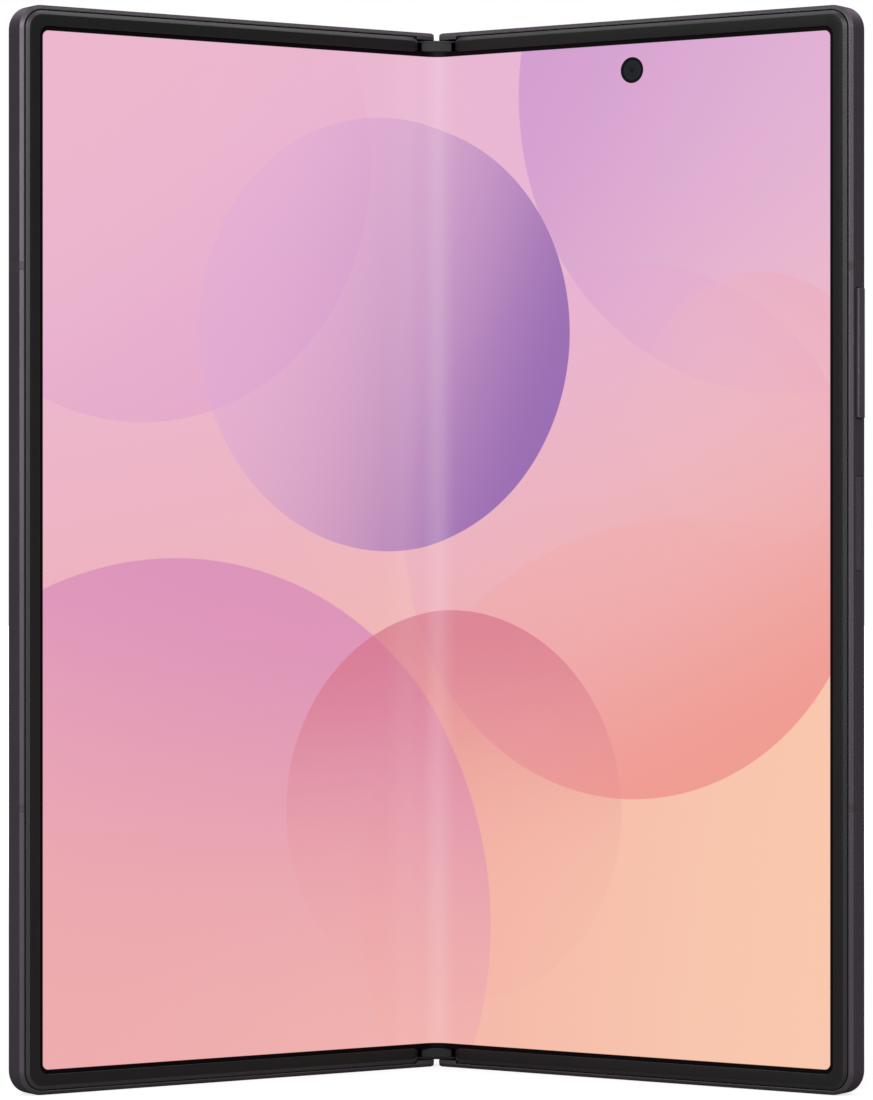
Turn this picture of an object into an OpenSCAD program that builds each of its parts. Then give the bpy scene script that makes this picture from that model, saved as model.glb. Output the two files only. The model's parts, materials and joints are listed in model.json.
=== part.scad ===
// Book-style foldable phone, part-folded and standing on the lower edges of its two halves.
// Each half is drawn flat, with x running out from the fold, y running back from the
// display's face and z up, and is then turned about its own hinge axis.

/* [Overall size] */
// Width of one half, from the fold's centre line to its outer edge
half_w = 71.6; // [69:0.1:75]
// Height of the phone
phone_h = 158.4; // [154:0.1:164]
// Thickness of one half, from the frame's rim to its back
half_t = 4.2; // [4.2:0.05:4.6]
// Radius of the frame's outer corners
corner_r = 3.5; // [3:0.1:5]
// Angle that each half is tilted from flat
fold_angle = 32.5; // [25:0.5:45]

/* [Frame] */
// Thickness of the frame's outer rail
rail_w = 2.4; // [2.2:0.1:2.8]
// Width of the rail's thin end that passes over the spine
rail_end_w = 1.05; // [0.9:0.05:1.1]
// Width of the rim that shows around the bezel
rim_w = 0.65; // [0.55:0.05:0.8]
// Chamfer of the rim's front edge
rim_chamfer = 0.48; // [0.3:0.02:0.5]
// Chamfer of the frame's back edge
back_chamfer = 0.4; // [0.2:0.05:0.5]
// Thickness of the mid-plate that carries the display
mid_plate_t = 0.45; // [0.4:0.05:0.5]
// Distance of the frame's front corner from the fold line
front_edge_x = 0.38; // [0.36:0.01:0.45]
// Distance of the frame's back edge from the fold line
back_edge_x = 0.2; // [0.15:0.01:0.3]
// Rounding of the frame's corners at the fold
fold_corner_r = 0.7; // [0.4:0.05:0.8]
// Width of an antenna band
band_w = 1.2; // [0.8:0.1:2]
// Depth of an antenna band into the rail
band_d = 1.1; // [0.8:0.05:1.2]
// Distance of the upper antenna band from the top
band_top = 38; // [34:0.5:39]
// Distance of the lower antenna band from the bottom
band_bottom = 41.7; // [38:0.1:60]

/* [Bezel] */
// Gap between the rim and the bezel
bezel_gap = 0.15; // [0.1:0.01:0.2]
// Width of the raised bezel
bezel_w = 2.1; // [1.8:0.05:2.3]
// Height of the bezel above the display
bezel_rise = 0.25; // [0.2:0.01:0.3]
// Width of the bezel's foot, down to the rail
bezel_foot_w = 0.5; // [0.4:0.05:0.55]
// Distance of the bezel's end from the fold line
bezel_end_x = 3.7; // [3.65:0.05:4.5]
// Slope of the bezel's edges
bezel_chamfer = 0.18; // [0.1:0.01:0.2]

/* [Main display] */
// Thickness of the display laminate
display_t = 0.6; // [0.55:0.01:0.62]
// Width of the flexing strip on one side of the fold
flex_x = 3.6; // [3.5:0.05:3.65]
// Gap between the flexing strip and each half's display
flex_gap = 0.03; // [0.02:0.01:0.1]
// Radius of the display's bend at the fold, on its face
flex_bend_r = 3.2; // [2.6:0.1:3.8]
// Thickness of the plate behind the display
display_plate_t = 0.1; // [0.08:0.01:0.1]
// Diameter of the inner camera's hole
punch_d = 3.8; // [3.4:0.1:4.2]
// Distance of the inner camera from the fold line
punch_x = 34.8; // [30:0.1:40]
// Distance of the inner camera from the top
punch_top = 7.6; // [7:0.1:9]

/* [Cover side] */
// Thickness of the outer glass on both backs
glass_t = 0.45; // [0.4:0.01:0.5]
// Distance of the outer glass from the frame's edge
glass_inset = 0.9; // [0.8:0.05:1.2]
// Gap round the outer glass
glass_gap = 0.05; // [0.03:0.01:0.08]
// Distance of the outer glass from the fold line
glass_x0 = 2.4; // [2.2:0.1:3]
// Thickness of the cover display
cover_panel_t = 0.55; // [0.5:0.05:0.6]
// Diameter of the cover camera's hole
cover_punch_d = 3.6; // [3.2:0.1:4]
// Distance of the cover camera from the top
cover_punch_top = 8; // [7:0.5:9]
// Width of the cover camera's body
cover_camera_w = 6; // [5:0.1:6.4]
// Gap between the cover camera's middle and the earpiece
earpiece_gap = 5; // [4:0.5:8]
// Length of the earpiece
earpiece_l = 12; // [8:0.5:14]
// Width of the earpiece
earpiece_w = 5; // [3:0.5:6]

/* [Spine] */
// Outer radius of the spine's rounded edges
spine_r = 2.7; // [2.68:0.01:2.75]
// Wall of the spine
spine_wall = 0.5; // [0.45:0.01:0.55]
// Gap between the spine and the halves
spine_clear = 0.15; // [0.12:0.01:0.18]
// Distance of the spine's end below the frame's top
spine_end = 1.16; // [1.14:0.01:1.3]
// Thickness of the spine's end wall
spine_end_wall = 0.3; // [0.25:0.01:0.35]
// Half the width of the spine's end wall at the front
end_lip_x = 2.9; // [2.6:0.05:3]
// Half the width of an end cap
end_cap_x = 2.3; // [2:0.05:2.5]
// Height of an end cap along the spine
end_cap_h = 1.4; // [1:0.05:1.44]
// Radius of the end cap's bowed face
end_cap_bow_r = 18; // [12:1:30]
// Height of an end cap's face in front of the display's level
end_cap_rise = 0.2; // [0.1:0.01:0.3]

/* [Hinge mechanism] */
// Distance of a hinge module's end from the phone's end
module_end = 7; // [6:0.5:12]
// Length of a rotator along the spine
rotator_l = 5; // [4:0.1:5.5]
// Wall between the bays of a hinge module
bay_wall = 1; // [0.9:0.05:1.4]
// Length of a gear along the spine
gear_l = 2; // [1.6:0.1:2.4]
// Length of the detent spring's bay
spring_bay_l = 8; // [7:0.1:10]
// Inner radius of a rotator's arc rail
arc_r_in = 1.45; // [1.42:0.01:1.5]
// Thickness of a rotator's arc rail
arc_t = 0.55; // [0.5:0.01:0.58]
// Running clearance of sliding hinge parts
run_clear = 0.03; // [0.02:0.005:0.04]
// Clearance at the ends of a bay
end_clear = 0.1; // [0.08:0.01:0.15]
// Gap between the hinge's plates as they pass each other
plate_clear = 0.05; // [0.04:0.01:0.05]
// Gap under a tongue or an arm where it leaves the spine
tongue_clear = 0.15; // [0.12:0.01:0.15]
// Thickness of a rotator's foot over the half's mid-plate
foot_t = 0.4; // [0.35:0.01:0.4]
// Angle that a rotator's arc reaches round its axis
arc_reach = 126; // [118:1:127]
// Pitch radius of a synchronising gear
gear_r = 0.5; // [0.5:0.001:0.505]
// Teeth on a synchronising gear
gear_teeth = 10; // [10:2:12]
// Depth of the gear row behind the display's face
gear_y = 2; // [1.97:0.01:2.02]
// Radius of a gear's shaft
shaft_r = 0.2; // [0.18:0.01:0.22]
// Thickness of a synchronising arm
arm_t = 0.3; // [0.28:0.01:0.34]
// Length of a synchronising arm from its gear's centre
arm_l = 6.5; // [5.5:0.1:7]
// Length of a rotator's foot on its half
foot_l = 5.2; // [5:0.1:6]

/* [Keys] */
// Distance of the volume key's top from the phone's top
volume_top = 41.2; // [40.5:0.1:43]
// Length of the volume key
volume_l = 18.8; // [16:0.1:20]
// How far the volume key stands out
volume_rise = 0.45; // [0.3:0.05:0.5]
// Distance of the side key's top from the phone's top
side_top = 68.5; // [66:0.1:72]
// Length of the side key
side_l = 13.7; // [12:0.1:15]
// Depth of the side key's face below the rail's face
side_sink = 0.05; // [0:0.01:0.1]
// Width of a key across the phone's thickness
key_w = 1.8; // [1.6:0.05:1.9]
// Middle of the keys behind the display's face
key_y = 2.2; // [2.15:0.01:2.3]
// Gap round a key
key_clear = 0.08; // [0.05:0.01:0.1]
// Thickness of a key's cap through the rail
key_cap_t = 1; // [0.9:0.05:1.1]
// Thickness of a key's retaining flange
key_flange_t = 0.4; // [0.3:0.05:0.45]
// Gap in front of the flange, which lets the volume key rock
key_lift = 0.18; // [0.16:0.01:0.2]
// How far the flange reaches past the cap
key_flange_lip = 0.3; // [0.25:0.01:0.35]
// Thickness of the strip behind the keys
strip_t = 0.3; // [0.2:0.05:0.4]
// Travel of a key
key_travel = 0.2; // [0.15:0.01:0.22]

/* [SIM tray] */
// Gap between the SIM tray's face and the cover camera
tray_gap = 2.3; // [2.1:0.1:4]
// Width of the tray's face
tray_w = 13; // [12.9:0.1:14]
// Width of the tray's frame
tray_frame_w = 11.6; // [11.5:0.1:12]
// Thickness of the tray
tray_t = 1; // [0.9:0.05:1.1]
// Thickness of the tray's face
tray_face_t = 1.4; // [1.35:0.05:1.5]
// Length of the tray's frame
tray_l = 16; // [15:0.5:18]
// Middle of the tray behind the display's face
tray_y = 2.1; // [2.05:0.05:2.2]
// Gap round the tray
tray_clear = 0.08; // [0.05:0.01:0.1]
// Width of the card
card_w = 8.8; // [8.6:0.1:9]
// Length of the card
card_l = 12.3; // [12:0.1:12.5]
// Thickness of the card
card_t = 0.67; // [0.6:0.01:0.7]

/* [Power and boards] */
// Thickness of the batteries
battery_t = 1.85; // [1.6:0.05:1.9]
// Height of the left board
left_board_h = 8; // [6:0.5:20]
// Height of the lower board bay
lower_bay_h = 26; // [24:0.5:28]
// Thickness of a circuit board
board_t = 0.5; // [0.4:0.05:0.6]
// Height of a shield can over its board
can_h = 1.2; // [1:0.05:1.25]
// Wall of a shield can
can_wall = 0.15; // [0.12:0.01:0.2]
// Radius of the charging coil's ferrite sheet
ferrite_r = 24; // [22:0.5:26]
// Thickness of the ferrite sheet
ferrite_t = 0.15; // [0.1:0.01:0.2]
// Outer radius of the charging coil
coil_out_r = 21; // [18:0.5:21.5]
// Inner radius of the charging coil
coil_in_r = 10; // [8:0.5:12]
// Thickness of the charging coil
coil_t = 0.2; // [0.15:0.01:0.25]
// How far the lower board reaches from the USB port towards the fold
usb_board_in = 14; // [12:0.5:15]
// Length of the vibration motor
motor_l = 10; // [8:0.5:12]
// Width of the vibration motor
motor_w = 6; // [5:0.5:8]
// Gap between parts in the bay
bay_gap = 0.8; // [0.6:0.1:1]

/* [Rear camera] */
// Distance of the camera island's middle from the outer edge
island_edge = 12.1; // [11.5:0.1:16]
// Distance of the island's top from the phone's top
island_top = 9; // [7:0.5:12]
// Width of the camera island
island_w = 17.5; // [16.5:0.5:18]
// Height of the camera island
island_h = 55; // [54:0.5:58]
// How far the island stands out of the back
island_rise = 1.2; // [1:0.05:1.5]
// Spacing of the lenses
lens_pitch = 18; // [17.5:0.25:18.5]
// Outer radius of a lens ring
ring_r = 7; // [6.6:0.1:7.2]
// Width of a lens ring
ring_w = 0.9; // [0.7:0.05:1.1]
// How far a lens ring stands out of the island
ring_rise = 0.6; // [0.4:0.05:0.8]
// Radius of a camera's barrel
barrel_r = 4.4; // [4:0.1:4.8]
// Width of a camera's body
camera_w = 11; // [10:0.1:11.5]
// Radius of the flash window
flash_r = 2.2; // [1.8:0.1:2.4]

/* [USB port and sound] */
// Width of the USB opening
usb_w = 8.34; // [8.3:0.01:8.4]
// Height of the USB opening
usb_h = 2.56; // [2.5:0.01:2.6]
// Depth of the USB receptacle
usb_l = 6.6; // [6.4:0.1:7]
// Wall of the USB shell
usb_wall = 0.2; // [0.16:0.01:0.22]
// Width of the USB tongue
tongue_w = 6.7; // [6.6:0.01:6.75]
// Thickness of the USB tongue
tongue_t = 0.7; // [0.65:0.01:0.75]
// Distance of the USB port from the fold line
usb_x = 37; // [35:0.5:39]
// Middle of the USB port behind the display's face
usb_y = 2.22; // [2.2:0.01:2.23]
// Radius of a speaker hole
grille_r = 0.5; // [0.4:0.05:0.6]
// Spacing of the speaker holes
grille_pitch = 1.9; // [1.6:0.1:2]
// Holes in each speaker grille
grille_count = 5; // [3:1:5]
// Distance of the grille's first hole from the USB port
grille_start = 7.5; // [7:0.1:8.5]

/* [Screws and springs] */
// Radius of a screw's head
screw_head_r = 0.8; // [0.7:0.05:0.9]
// Height of a screw's head
screw_head_h = 0.3; // [0.25:0.05:0.35]
// Radius of a screw's shank
screw_r = 0.45; // [0.4:0.01:0.5]
// Radius of a hinge rivet
rivet_r = 0.28; // [0.2:0.01:0.29]
// Radius of a detent spring's wire
wire_r = 0.1; // [0.08:0.01:0.12]
// Radius of a detent spring's coil
coil_r = 0.38; // [0.36:0.01:0.4]

/* [Frame details] */
// Wall between the spine's hollow and the component bay
hinge_wall_t = 0.78; // [0.7:0.02:0.9]
// Gap between the halves' bezels when shut, on each side
shut_gap = 0.02; // [0.01:0.005:0.04]
// Distance of the display laminate's edge from the frame's outer face
display_inset = 1.4; // [1.35:0.01:1.45]
// Depth of the spine's edge behind the hinge axes
spine_lip = 0.25; // [0.22:0.01:0.3]
// Thickness of the wing plates under the fold
wing_t = 0.1; // [0.08:0.01:0.1]
// Inner edge of a wing plate
wing_x = 1.3; // [1.2:0.05:1.5]
// Half the width of the display's centre support
support_x = 0.85; // [0.7:0.05:0.9]
// Depth of the display's centre support
support_y = 1.5; // [1.48:0.01:1.55]
// Thickness of the display's centre support
support_t = 0.2; // [0.15:0.01:0.22]
// Height of the flex cables along the spine
flex_h = 7; // [5:0.5:9]
// Thickness of the flex cables
flex_t = 0.15; // [0.12:0.01:0.2]
// Distance of each flex cable from mid-height
flex_mid = 14; // [12:0.5:18]
// Length of a magnet
magnet_l = 14; // [10:1:16]
// Width of a magnet
magnet_w = 2.2; // [1.8:0.1:2.4]

/* [Hidden] */

eps = 0.01;
far = 40;
round_fn = 64;

// hinge axes, and the layers behind the display
axis_x = display_t + bezel_rise + shut_gap;
axis_y = display_t;
cavity_r = spine_r + spine_clear;
spine_in_r = spine_r - spine_wall;
spine_floor = axis_y + spine_in_r;
lip_y = axis_y + spine_lip;
plate_y0 = display_t + display_plate_t;
bay_y0 = plate_y0 + mid_plate_t;
bay_y1 = half_t - glass_t;
wall_x0 = axis_x + cavity_r;
wall_x1 = wall_x0 + hinge_wall_t;
bay_x1 = half_w - rail_w;
bay_z1 = phone_h - rail_w;
mid_z = phone_h / 2;

// display outline
bezel_d0 = rim_w + bezel_gap;
bezel_d1 = bezel_d0 + bezel_w;
flex_z0 = bezel_d1;
punch_z = phone_h - punch_top;
cover_punch_z = phone_h - cover_punch_top;

// The posed model spans from the bezel's outer front corner to the back edge at the fold.
tilt_sin = sin(fold_angle);
tilt_cos = cos(fold_angle);
front_reach = axis_y - (half_w - bezel_d0 - bezel_chamfer - axis_x) * tilt_sin
    - (bezel_rise + axis_y) * tilt_cos;
back_reach = axis_y + (axis_x - back_edge_x) * tilt_sin + (half_t - back_chamfer - axis_y) * tilt_cos;
shift_y = -(front_reach + back_reach) / 2;

// hinge modules, measured along the spine from each module's outer end
rotator_z = [bay_wall, 2 * bay_wall + rotator_l];
gear_z = 3 * bay_wall + 2 * rotator_l;
spring_z = gear_z + gear_l + bay_wall;
module_l = spring_z + spring_bay_l + bay_wall;
arc_r_out = arc_r_in + arc_t;
tongue_y0 = axis_y + wing_t + plate_clear;
tongue_y1 = bay_y0 + foot_t;
foot_x1 = wall_x1 + foot_l;
gear_x = [-3 * gear_r, -gear_r, gear_r, 3 * gear_r];
gear_out_r = gear_r * (1 + 2 / gear_teeth);
gear_root_r = gear_r * (1 - 2.5 / gear_teeth);
arm_y0 = gear_y - plate_clear;
arm_y1 = arm_y0 + arm_t;
valley_x = support_x + 0.1;
bracket_floor = gear_y + gear_out_r + plate_clear;

// keys and tray
cover_camera_x = half_w / 2;
tray_x = cover_camera_x - cover_camera_w / 2 - tray_gap - tray_w / 2;
volume_z = phone_h - volume_top - volume_l / 2;
side_z = phone_h - side_top - side_l / 2;
switch_x = half_w - key_cap_t - key_flange_t - key_travel - 0.02;

// component bay of each half
part_x0 = foot_x1 + bay_gap;
part_x1 = bay_x1 - strip_t - 2 * bay_gap;
cover_panel_y0 = bay_y1 - cover_panel_t;
island_x = half_w - island_edge;
island_z1 = phone_h - island_top;
island_z0 = island_z1 - island_h;
island_back = half_t + island_rise;
lens_z = [for (i = [-1:1]) (island_z0 + island_z1) / 2 + i * lens_pitch];
right_battery_z1 = lens_z[0] - camera_w / 2 - bay_gap;
upper_z0 = right_battery_z1 + bay_gap;
left_board_z1 = phone_h - tray_l - rail_w - 1.5;
left_board_z0 = left_board_z1 - left_board_h;
coil_z = (lower_bay_h + right_battery_z1) / 2;
motor_x1 = bay_x1 - magnet_w - bay_gap;
motor_x0 = motor_x1 - motor_l;

METAL = [0.21, 0.19, 0.21];
STEEL = [0.62, 0.63, 0.65];
BLACK = [0.07, 0.07, 0.08];
BEZEL = [0.14, 0.14, 0.15];
GLASS = [0.16, 0.15, 0.17];
BRASS = [0.78, 0.62, 0.3];
BOARD = [0.1, 0.28, 0.2];
CELL = [0.25, 0.26, 0.28];
PINK = [0.91, 0.71, 0.8];
PEACH = [0.96, 0.76, 0.68];

// ---- shapes that repeat ----

module block(x, y, z) {
    translate([x[0], y[0], z[0]]) cube([x[1] - x[0], y[1] - y[0], z[1] - z[0]]);
}

module rod_x(y, z, r, x) {
    translate([x[0], y, z]) rotate([0, 90, 0]) cylinder(r = r, h = x[1] - x[0], $fn = round_fn);
}

module rod_y(x, z, r, y) {
    translate([x, y[0], z]) rotate([-90, 0, 0]) cylinder(r = r, h = y[1] - y[0], $fn = round_fn);
}

module rod_z(x, y, r, z) {
    translate([x, y, z[0]]) cylinder(r = r, h = z[1] - z[0], $fn = round_fn);
}

// An outline drawn in x and z, made solid from y[0] to y[1].
module slab_y(y) {
    translate([0, y[1], 0]) rotate([90, 0, 0]) linear_extrude(y[1] - y[0]) children();
}

module round_rect(x, z, r) {
    union() {
        translate([x[0] + r, z[0]]) square([x[1] - x[0] - 2 * r, z[1] - z[0]]);
        translate([x[0], z[0] + r]) square([x[1] - x[0], z[1] - z[0] - 2 * r]);
        for (cx = [x[0] + r, x[1] - r], cz = [z[0] + r, z[1] - r])
            translate([cx, cz]) circle(r = r, $fn = round_fn);
    }
}

// A rectangle in x and z whose two outer corners follow the frame's corners.
module edge_sheet(x0, inset, y) {
    r = corner_r - inset;
    x1 = half_w - inset;
    z1 = phone_h - inset;
    slab_y(y) union() {
        translate([x0, inset]) square([x1 - r - x0, z1 - inset]);
        translate([x1 - r - eps, inset + r]) square([r + eps, z1 - inset - 2 * r]);
        for (cz = [inset + r, z1 - r]) translate([x1 - r, cz]) circle(r = r, $fn = round_fn);
    }
}

// A profile of (distance in from the edge, depth) swept along the top, the outer side and the bottom.
module edge_sweep(x0) {
    straight = half_w - corner_r - x0;
    translate([x0, 0, phone_h]) rotate([0, 90, 0]) linear_extrude(straight) children();
    translate([half_w - corner_r, 0, 0]) rotate([0, -90, 0]) linear_extrude(straight) children();
    translate([half_w, 0, phone_h - corner_r]) rotate([0, 180, 0])
        linear_extrude(phone_h - 2 * corner_r) children();
    for (top = [0, 1])
        translate([half_w - corner_r, 0, top ? phone_h - corner_r : corner_r])
            rotate([-90, 0, 0]) rotate([0, 0, top ? -90 : 0])
                rotate_extrude(angle = 90, $fn = round_fn)
                    translate([corner_r, 0]) mirror([1, 0]) children();
}

// The same thing at the top and the bottom of the phone.
module both_ends() {
    children();
    translate([0, 0, phone_h]) mirror([0, 0, 1]) children();
}

module in_spine() { translate([0, shift_y, 0]) children(); }

module in_right() {
    in_spine() translate([axis_x, axis_y, 0]) rotate([0, 0, -fold_angle])
        translate([-axis_x, -axis_y, 0]) children();
}

module in_left() { mirror([1, 0, 0]) in_right() children(); }

// ---- spine ----

// Outline of the spine seen from its end: two arcs about the hinge axes and a flat back.
module spine_outline(r) {
    for (side = [-1, 1]) translate([side * axis_x, axis_y]) circle(r = r, $fn = round_fn);
    translate([-axis_x, axis_y]) square([2 * axis_x, r]);
}

module below_lip(y) { translate([-far, y]) square([2 * far, far]); }

// Each hinge module stands at one end of the spine, and the lower one mirrors the upper one.
module each_module() {
    both_ends() translate([0, 0, module_end]) children();
}

module hinge_spine_cover() {
    color(METAL) in_spine() difference() {
        translate([0, 0, spine_end]) linear_extrude(phone_h - 2 * spine_end) intersection() {
            spine_outline(spine_r);
            union() {
                below_lip(lip_y);
                translate([-end_lip_x, 0]) square([2 * end_lip_x, far]);
            }
        }
        // hollow between the end walls
        translate([0, 0, spine_end + spine_end_wall])
            linear_extrude(phone_h - 2 * (spine_end + spine_end_wall)) spine_outline(spine_in_r);
        // the front is open between the end walls
        block([-far, far], [-far, lip_y],
            [spine_end + spine_end_wall, phone_h - spine_end - spine_end_wall]);
        each_module() {
            for (side = [0, 1]) mirror([side, 0, 0])
                block([axis_x, far], [-far, tongue_y1 + tongue_clear],
                    [rotator_z[side] - end_clear, rotator_z[side] + rotator_l + end_clear]);
            block([-far, far], [-far, arm_y1 + tongue_clear],
                [gear_z - end_clear, gear_z + gear_l + end_clear]);
            rivets(0);
        }
        for (side = [-1, 1])
            block([-far, far], [-far, bay_y0 + 0.5],
                [mid_z + side * flex_mid - flex_h / 2 - 0.5, mid_z + side * flex_mid + flex_h / 2 + 0.5]);
    }
}

module hinge_end_caps() {
    cap_z1 = phone_h - spine_end - spine_end_wall;
    color(BEZEL) in_spine() both_ends() translate([0, 0, cap_z1 - end_cap_h])
        linear_extrude(end_cap_h) intersection() {
            translate([-end_cap_x, -end_cap_rise]) square([2 * end_cap_x, far]);
            translate([0, end_cap_bow_r - end_cap_rise]) circle(r = end_cap_bow_r, $fn = 128);
            spine_outline(spine_in_r);
        }
}

module bracket_outline() {
    difference() {
        intersection() {
            spine_outline(spine_in_r);
            below_lip(lip_y);
        }
        translate([-valley_x, -far]) square([2 * valley_x, far + support_y + support_t]);
    }
}

// Room for one rotator: its arc's groove, and the way out for its tongue.
module rotator_bay() {
    linear_extrude(rotator_l + 2 * run_clear) {
        translate([axis_x, axis_y]) difference() {
            circle(r = arc_r_out + run_clear, $fn = round_fn);
            circle(r = arc_r_in - run_clear, $fn = round_fn);
        }
        difference() {
            translate([axis_x, -far]) square([far, far + tongue_y1 + tongue_clear]);
            translate([axis_x, axis_y]) circle(r = arc_r_in - run_clear, $fn = round_fn);
        }
    }
}

// The rivets that hold a module down stand in the walls between its bays.
module rivets(y0) {
    for (z = [rotator_z[1] - bay_wall / 2, spring_z - bay_wall / 2, module_l - bay_wall / 2])
        rod_y(0, z, rivet_r, [y0, spine_floor + 0.25]);
}

module hinge_brackets() {
    color(STEEL) in_spine() each_module() difference() {
        linear_extrude(module_l) bracket_outline();
        for (side = [0, 1]) mirror([side, 0, 0])
            translate([0, 0, rotator_z[side] - run_clear]) rotator_bay();
        block([-far, far], [-far, bracket_floor], [gear_z - run_clear, gear_z + gear_l + run_clear]);
        block([-far, far], [-far, bracket_floor], [spring_z, spring_z + spring_bay_l]);
        for (x = [gear_x[0], gear_x[3]]) rod_z(x, gear_y, shaft_r, [gear_z - bay_wall, module_l + eps]);
        for (x = [gear_x[1], gear_x[2]])
            rod_z(x, gear_y, shaft_r, [gear_z - bay_wall / 2, spring_z - bay_wall / 2]);
        rivets(0);
    }
}

module hinge_rivets() {
    color(STEEL) in_spine() each_module() rivets(support_y + support_t);
}

module display_center_support() {
    color(STEEL) in_spine() difference() {
        block([-support_x, support_x], [support_y, support_y + support_t],
            [flex_z0 + 0.5, phone_h - flex_z0 - 0.5]);
        each_module() block([-far, far], [0, far], [gear_z - end_clear, gear_z + gear_l + end_clear]);
        each_module() block([-far, far], [0, far], [spring_z, spring_z + spring_bay_l]);
    }
}

// A ribbon of even thickness along a path of points, drawn in x and y.
module ribbon(points, t) {
    n = len(points) - 1;
    normals = [for (i = [0:n])
        let (d = points[min(i + 1, n)] - points[max(i - 1, 0)]) [-d[1], d[0]] / norm(d) * t / 2];
    polygon(concat([for (i = [0:n]) points[i] + normals[i]],
        [for (i = [n:-1:0]) points[i] - normals[i]]));
}

// The flexing strip: one bend about the fold line, and a straight length on to each half's display.
module main_display_fold() {
    // where the plane of the right half's display face crosses the fold line
    apex_y = axis_y + (axis_x - display_t * tilt_sin) * tilt_sin / tilt_cos - display_t * tilt_cos;
    center_y = apex_y - flex_bend_r / tilt_cos;
    middle_r = flex_bend_r + display_t / 2;
    steps = 24;
    bend = [for (i = [-steps:steps]) let (a = fold_angle * i / steps)
        [middle_r * sin(a), center_y + middle_r * cos(a)]];
    // the strip stops just short of each half's display
    bend_x = axis_x + (display_t * tilt_sin - axis_x + flex_bend_r * tilt_sin) / tilt_cos;
    straight = (flex_x - flex_gap - bend_x) * [tilt_cos, -tilt_sin];
    first = bend[0] + [-straight[0], straight[1]];
    last = bend[2 * steps] + straight;
    color(PINK) in_spine() translate([0, 0, flex_z0]) linear_extrude(phone_h - 2 * flex_z0)
        ribbon(concat([first], bend, [last]), display_t);
}

// Each flex cable hangs in a bow from one half's board bay to the other's, under the support.
module flex_cable(side) {
    depth = gear_y + 0.3;
    end_u = wall_x1 + 0.6 - axis_x;
    end_v = bay_y0 + 0.2 - axis_y;
    end = [axis_x + end_u * tilt_cos + end_v * tilt_sin, axis_y - end_u * tilt_sin + end_v * tilt_cos];
    steps = 12;
    out = end + 2.2 * [-tilt_cos, tilt_sin];
    low = [1.6, depth];
    right = [for (i = [0:steps]) let (t = i / steps)
        pow(1 - t, 3) * [0, depth] + 3 * t * pow(1 - t, 2) * low + 3 * t * t * (1 - t) * out + t * t * t * end];
    bow = concat([for (i = [steps:-1:1]) [-right[i][0], right[i][1]]], right);
    color([0.55, 0.33, 0.12]) in_spine()
        translate([0, 0, mid_z + side * flex_mid - flex_h / 2]) linear_extrude(flex_h) ribbon(bow, flex_t);
}

module flex_cable_upper() { flex_cable(1); }

module flex_cable_lower() { flex_cable(-1); }

// ---- synchronising gears ----

module gear_outline(phase) {
    pitch_angle = 360 / gear_teeth;
    root_half = pitch_angle * 0.33;
    tip_half = pitch_angle * 0.11;
    difference() {
        rotate(phase) polygon([for (i = [0:gear_teeth - 1], c = [[-root_half, gear_root_r],
            [-tip_half, gear_out_r], [tip_half, gear_out_r], [root_half, gear_root_r]])
            let (a = i * pitch_angle + c[0]) c[1] * [cos(a), sin(a)]]);
        circle(r = shaft_r + run_clear, $fn = round_fn);
    }
}

module idler(i) {
    color(BRASS) in_spine() each_module() translate([gear_x[i], gear_y, gear_z])
        linear_extrude(gear_l) gear_outline(i == 1 ? 180 / gear_teeth : 0);
}

module left_idler_gears() { idler(1); }

module right_idler_gears() { idler(2); }

// An arm turns about its gear's shaft by the same angle as its half.
module sync_arm(side) {
    color(BRASS) in_spine() each_module() translate([side * gear_x[3], gear_y, gear_z])
        linear_extrude(gear_l) union() {
            gear_outline(side > 0 ? 180 / gear_teeth : 0);
            mirror([side > 0 ? 0 : 1, 0]) rotate(-fold_angle)
                translate([gear_root_r * 0.85, arm_y0 - gear_y]) square([arm_l - gear_root_r * 0.85, arm_t]);
        }
}

module left_sync_arms() { sync_arm(-1); }

module right_sync_arms() { sync_arm(1); }

module gear_shafts() {
    color(STEEL) in_spine() each_module() {
        for (x = [gear_x[0], gear_x[3]]) rod_z(x, gear_y, shaft_r, [gear_z - bay_wall / 2, module_l]);
        for (x = [gear_x[1], gear_x[2]])
            rod_z(x, gear_y, shaft_r, [gear_z - bay_wall / 2, spring_z - bay_wall / 2]);
    }
}

// Each spring is drawn as its stack of turns, closed up solid, round an arm gear's shaft.
module detent_springs() {
    spring_l = spring_bay_l * 0.6;
    turns = floor(spring_l / (wire_r * 1.8));
    z0 = spring_z + spring_bay_l - spring_l;
    color(STEEL) in_spine() each_module() for (x = [gear_x[0], gear_x[3]])
        translate([x, gear_y, z0]) rotate_extrude($fn = round_fn) intersection() {
            union() {
                translate([shaft_r + 0.02, 0]) square([coil_r - shaft_r - 0.02, spring_l]);
                for (i = [0:turns - 1]) translate([coil_r, (i + 0.5) * spring_l / turns])
                    circle(r = wire_r, $fn = 24);
            }
            square([far, spring_l]);
        }
}

module detent_cams() {
    spring_l = spring_bay_l * 0.6;
    color(BRASS) in_spine() each_module() for (x = [gear_x[0], gear_x[3]])
        difference() {
            union() {
                rod_z(x, gear_y, coil_r + wire_r, [spring_z, spring_z + spring_bay_l - spring_l]);
                translate([x - shaft_r, gear_y, spring_z])
                    cube([2 * shaft_r, bracket_floor - gear_y, spring_bay_l - spring_l]);
            }
            rod_z(x, gear_y, shaft_r, [0, far]);
        }
}

// ---- parts that both halves have ----

// The frame's edge at the fold, seen from its end: a front chamfer, a short face and the back edge.
module hinge_edge_outline(x1) {
    polygon([[front_edge_x + rim_chamfer, 0], [front_edge_x, rim_chamfer], [front_edge_x, lip_y],
        [back_edge_x, lip_y + rim_chamfer], [back_edge_x, half_t - back_chamfer],
        [back_edge_x + back_chamfer, half_t], [x1, half_t], [x1, 0]]);
}

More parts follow.
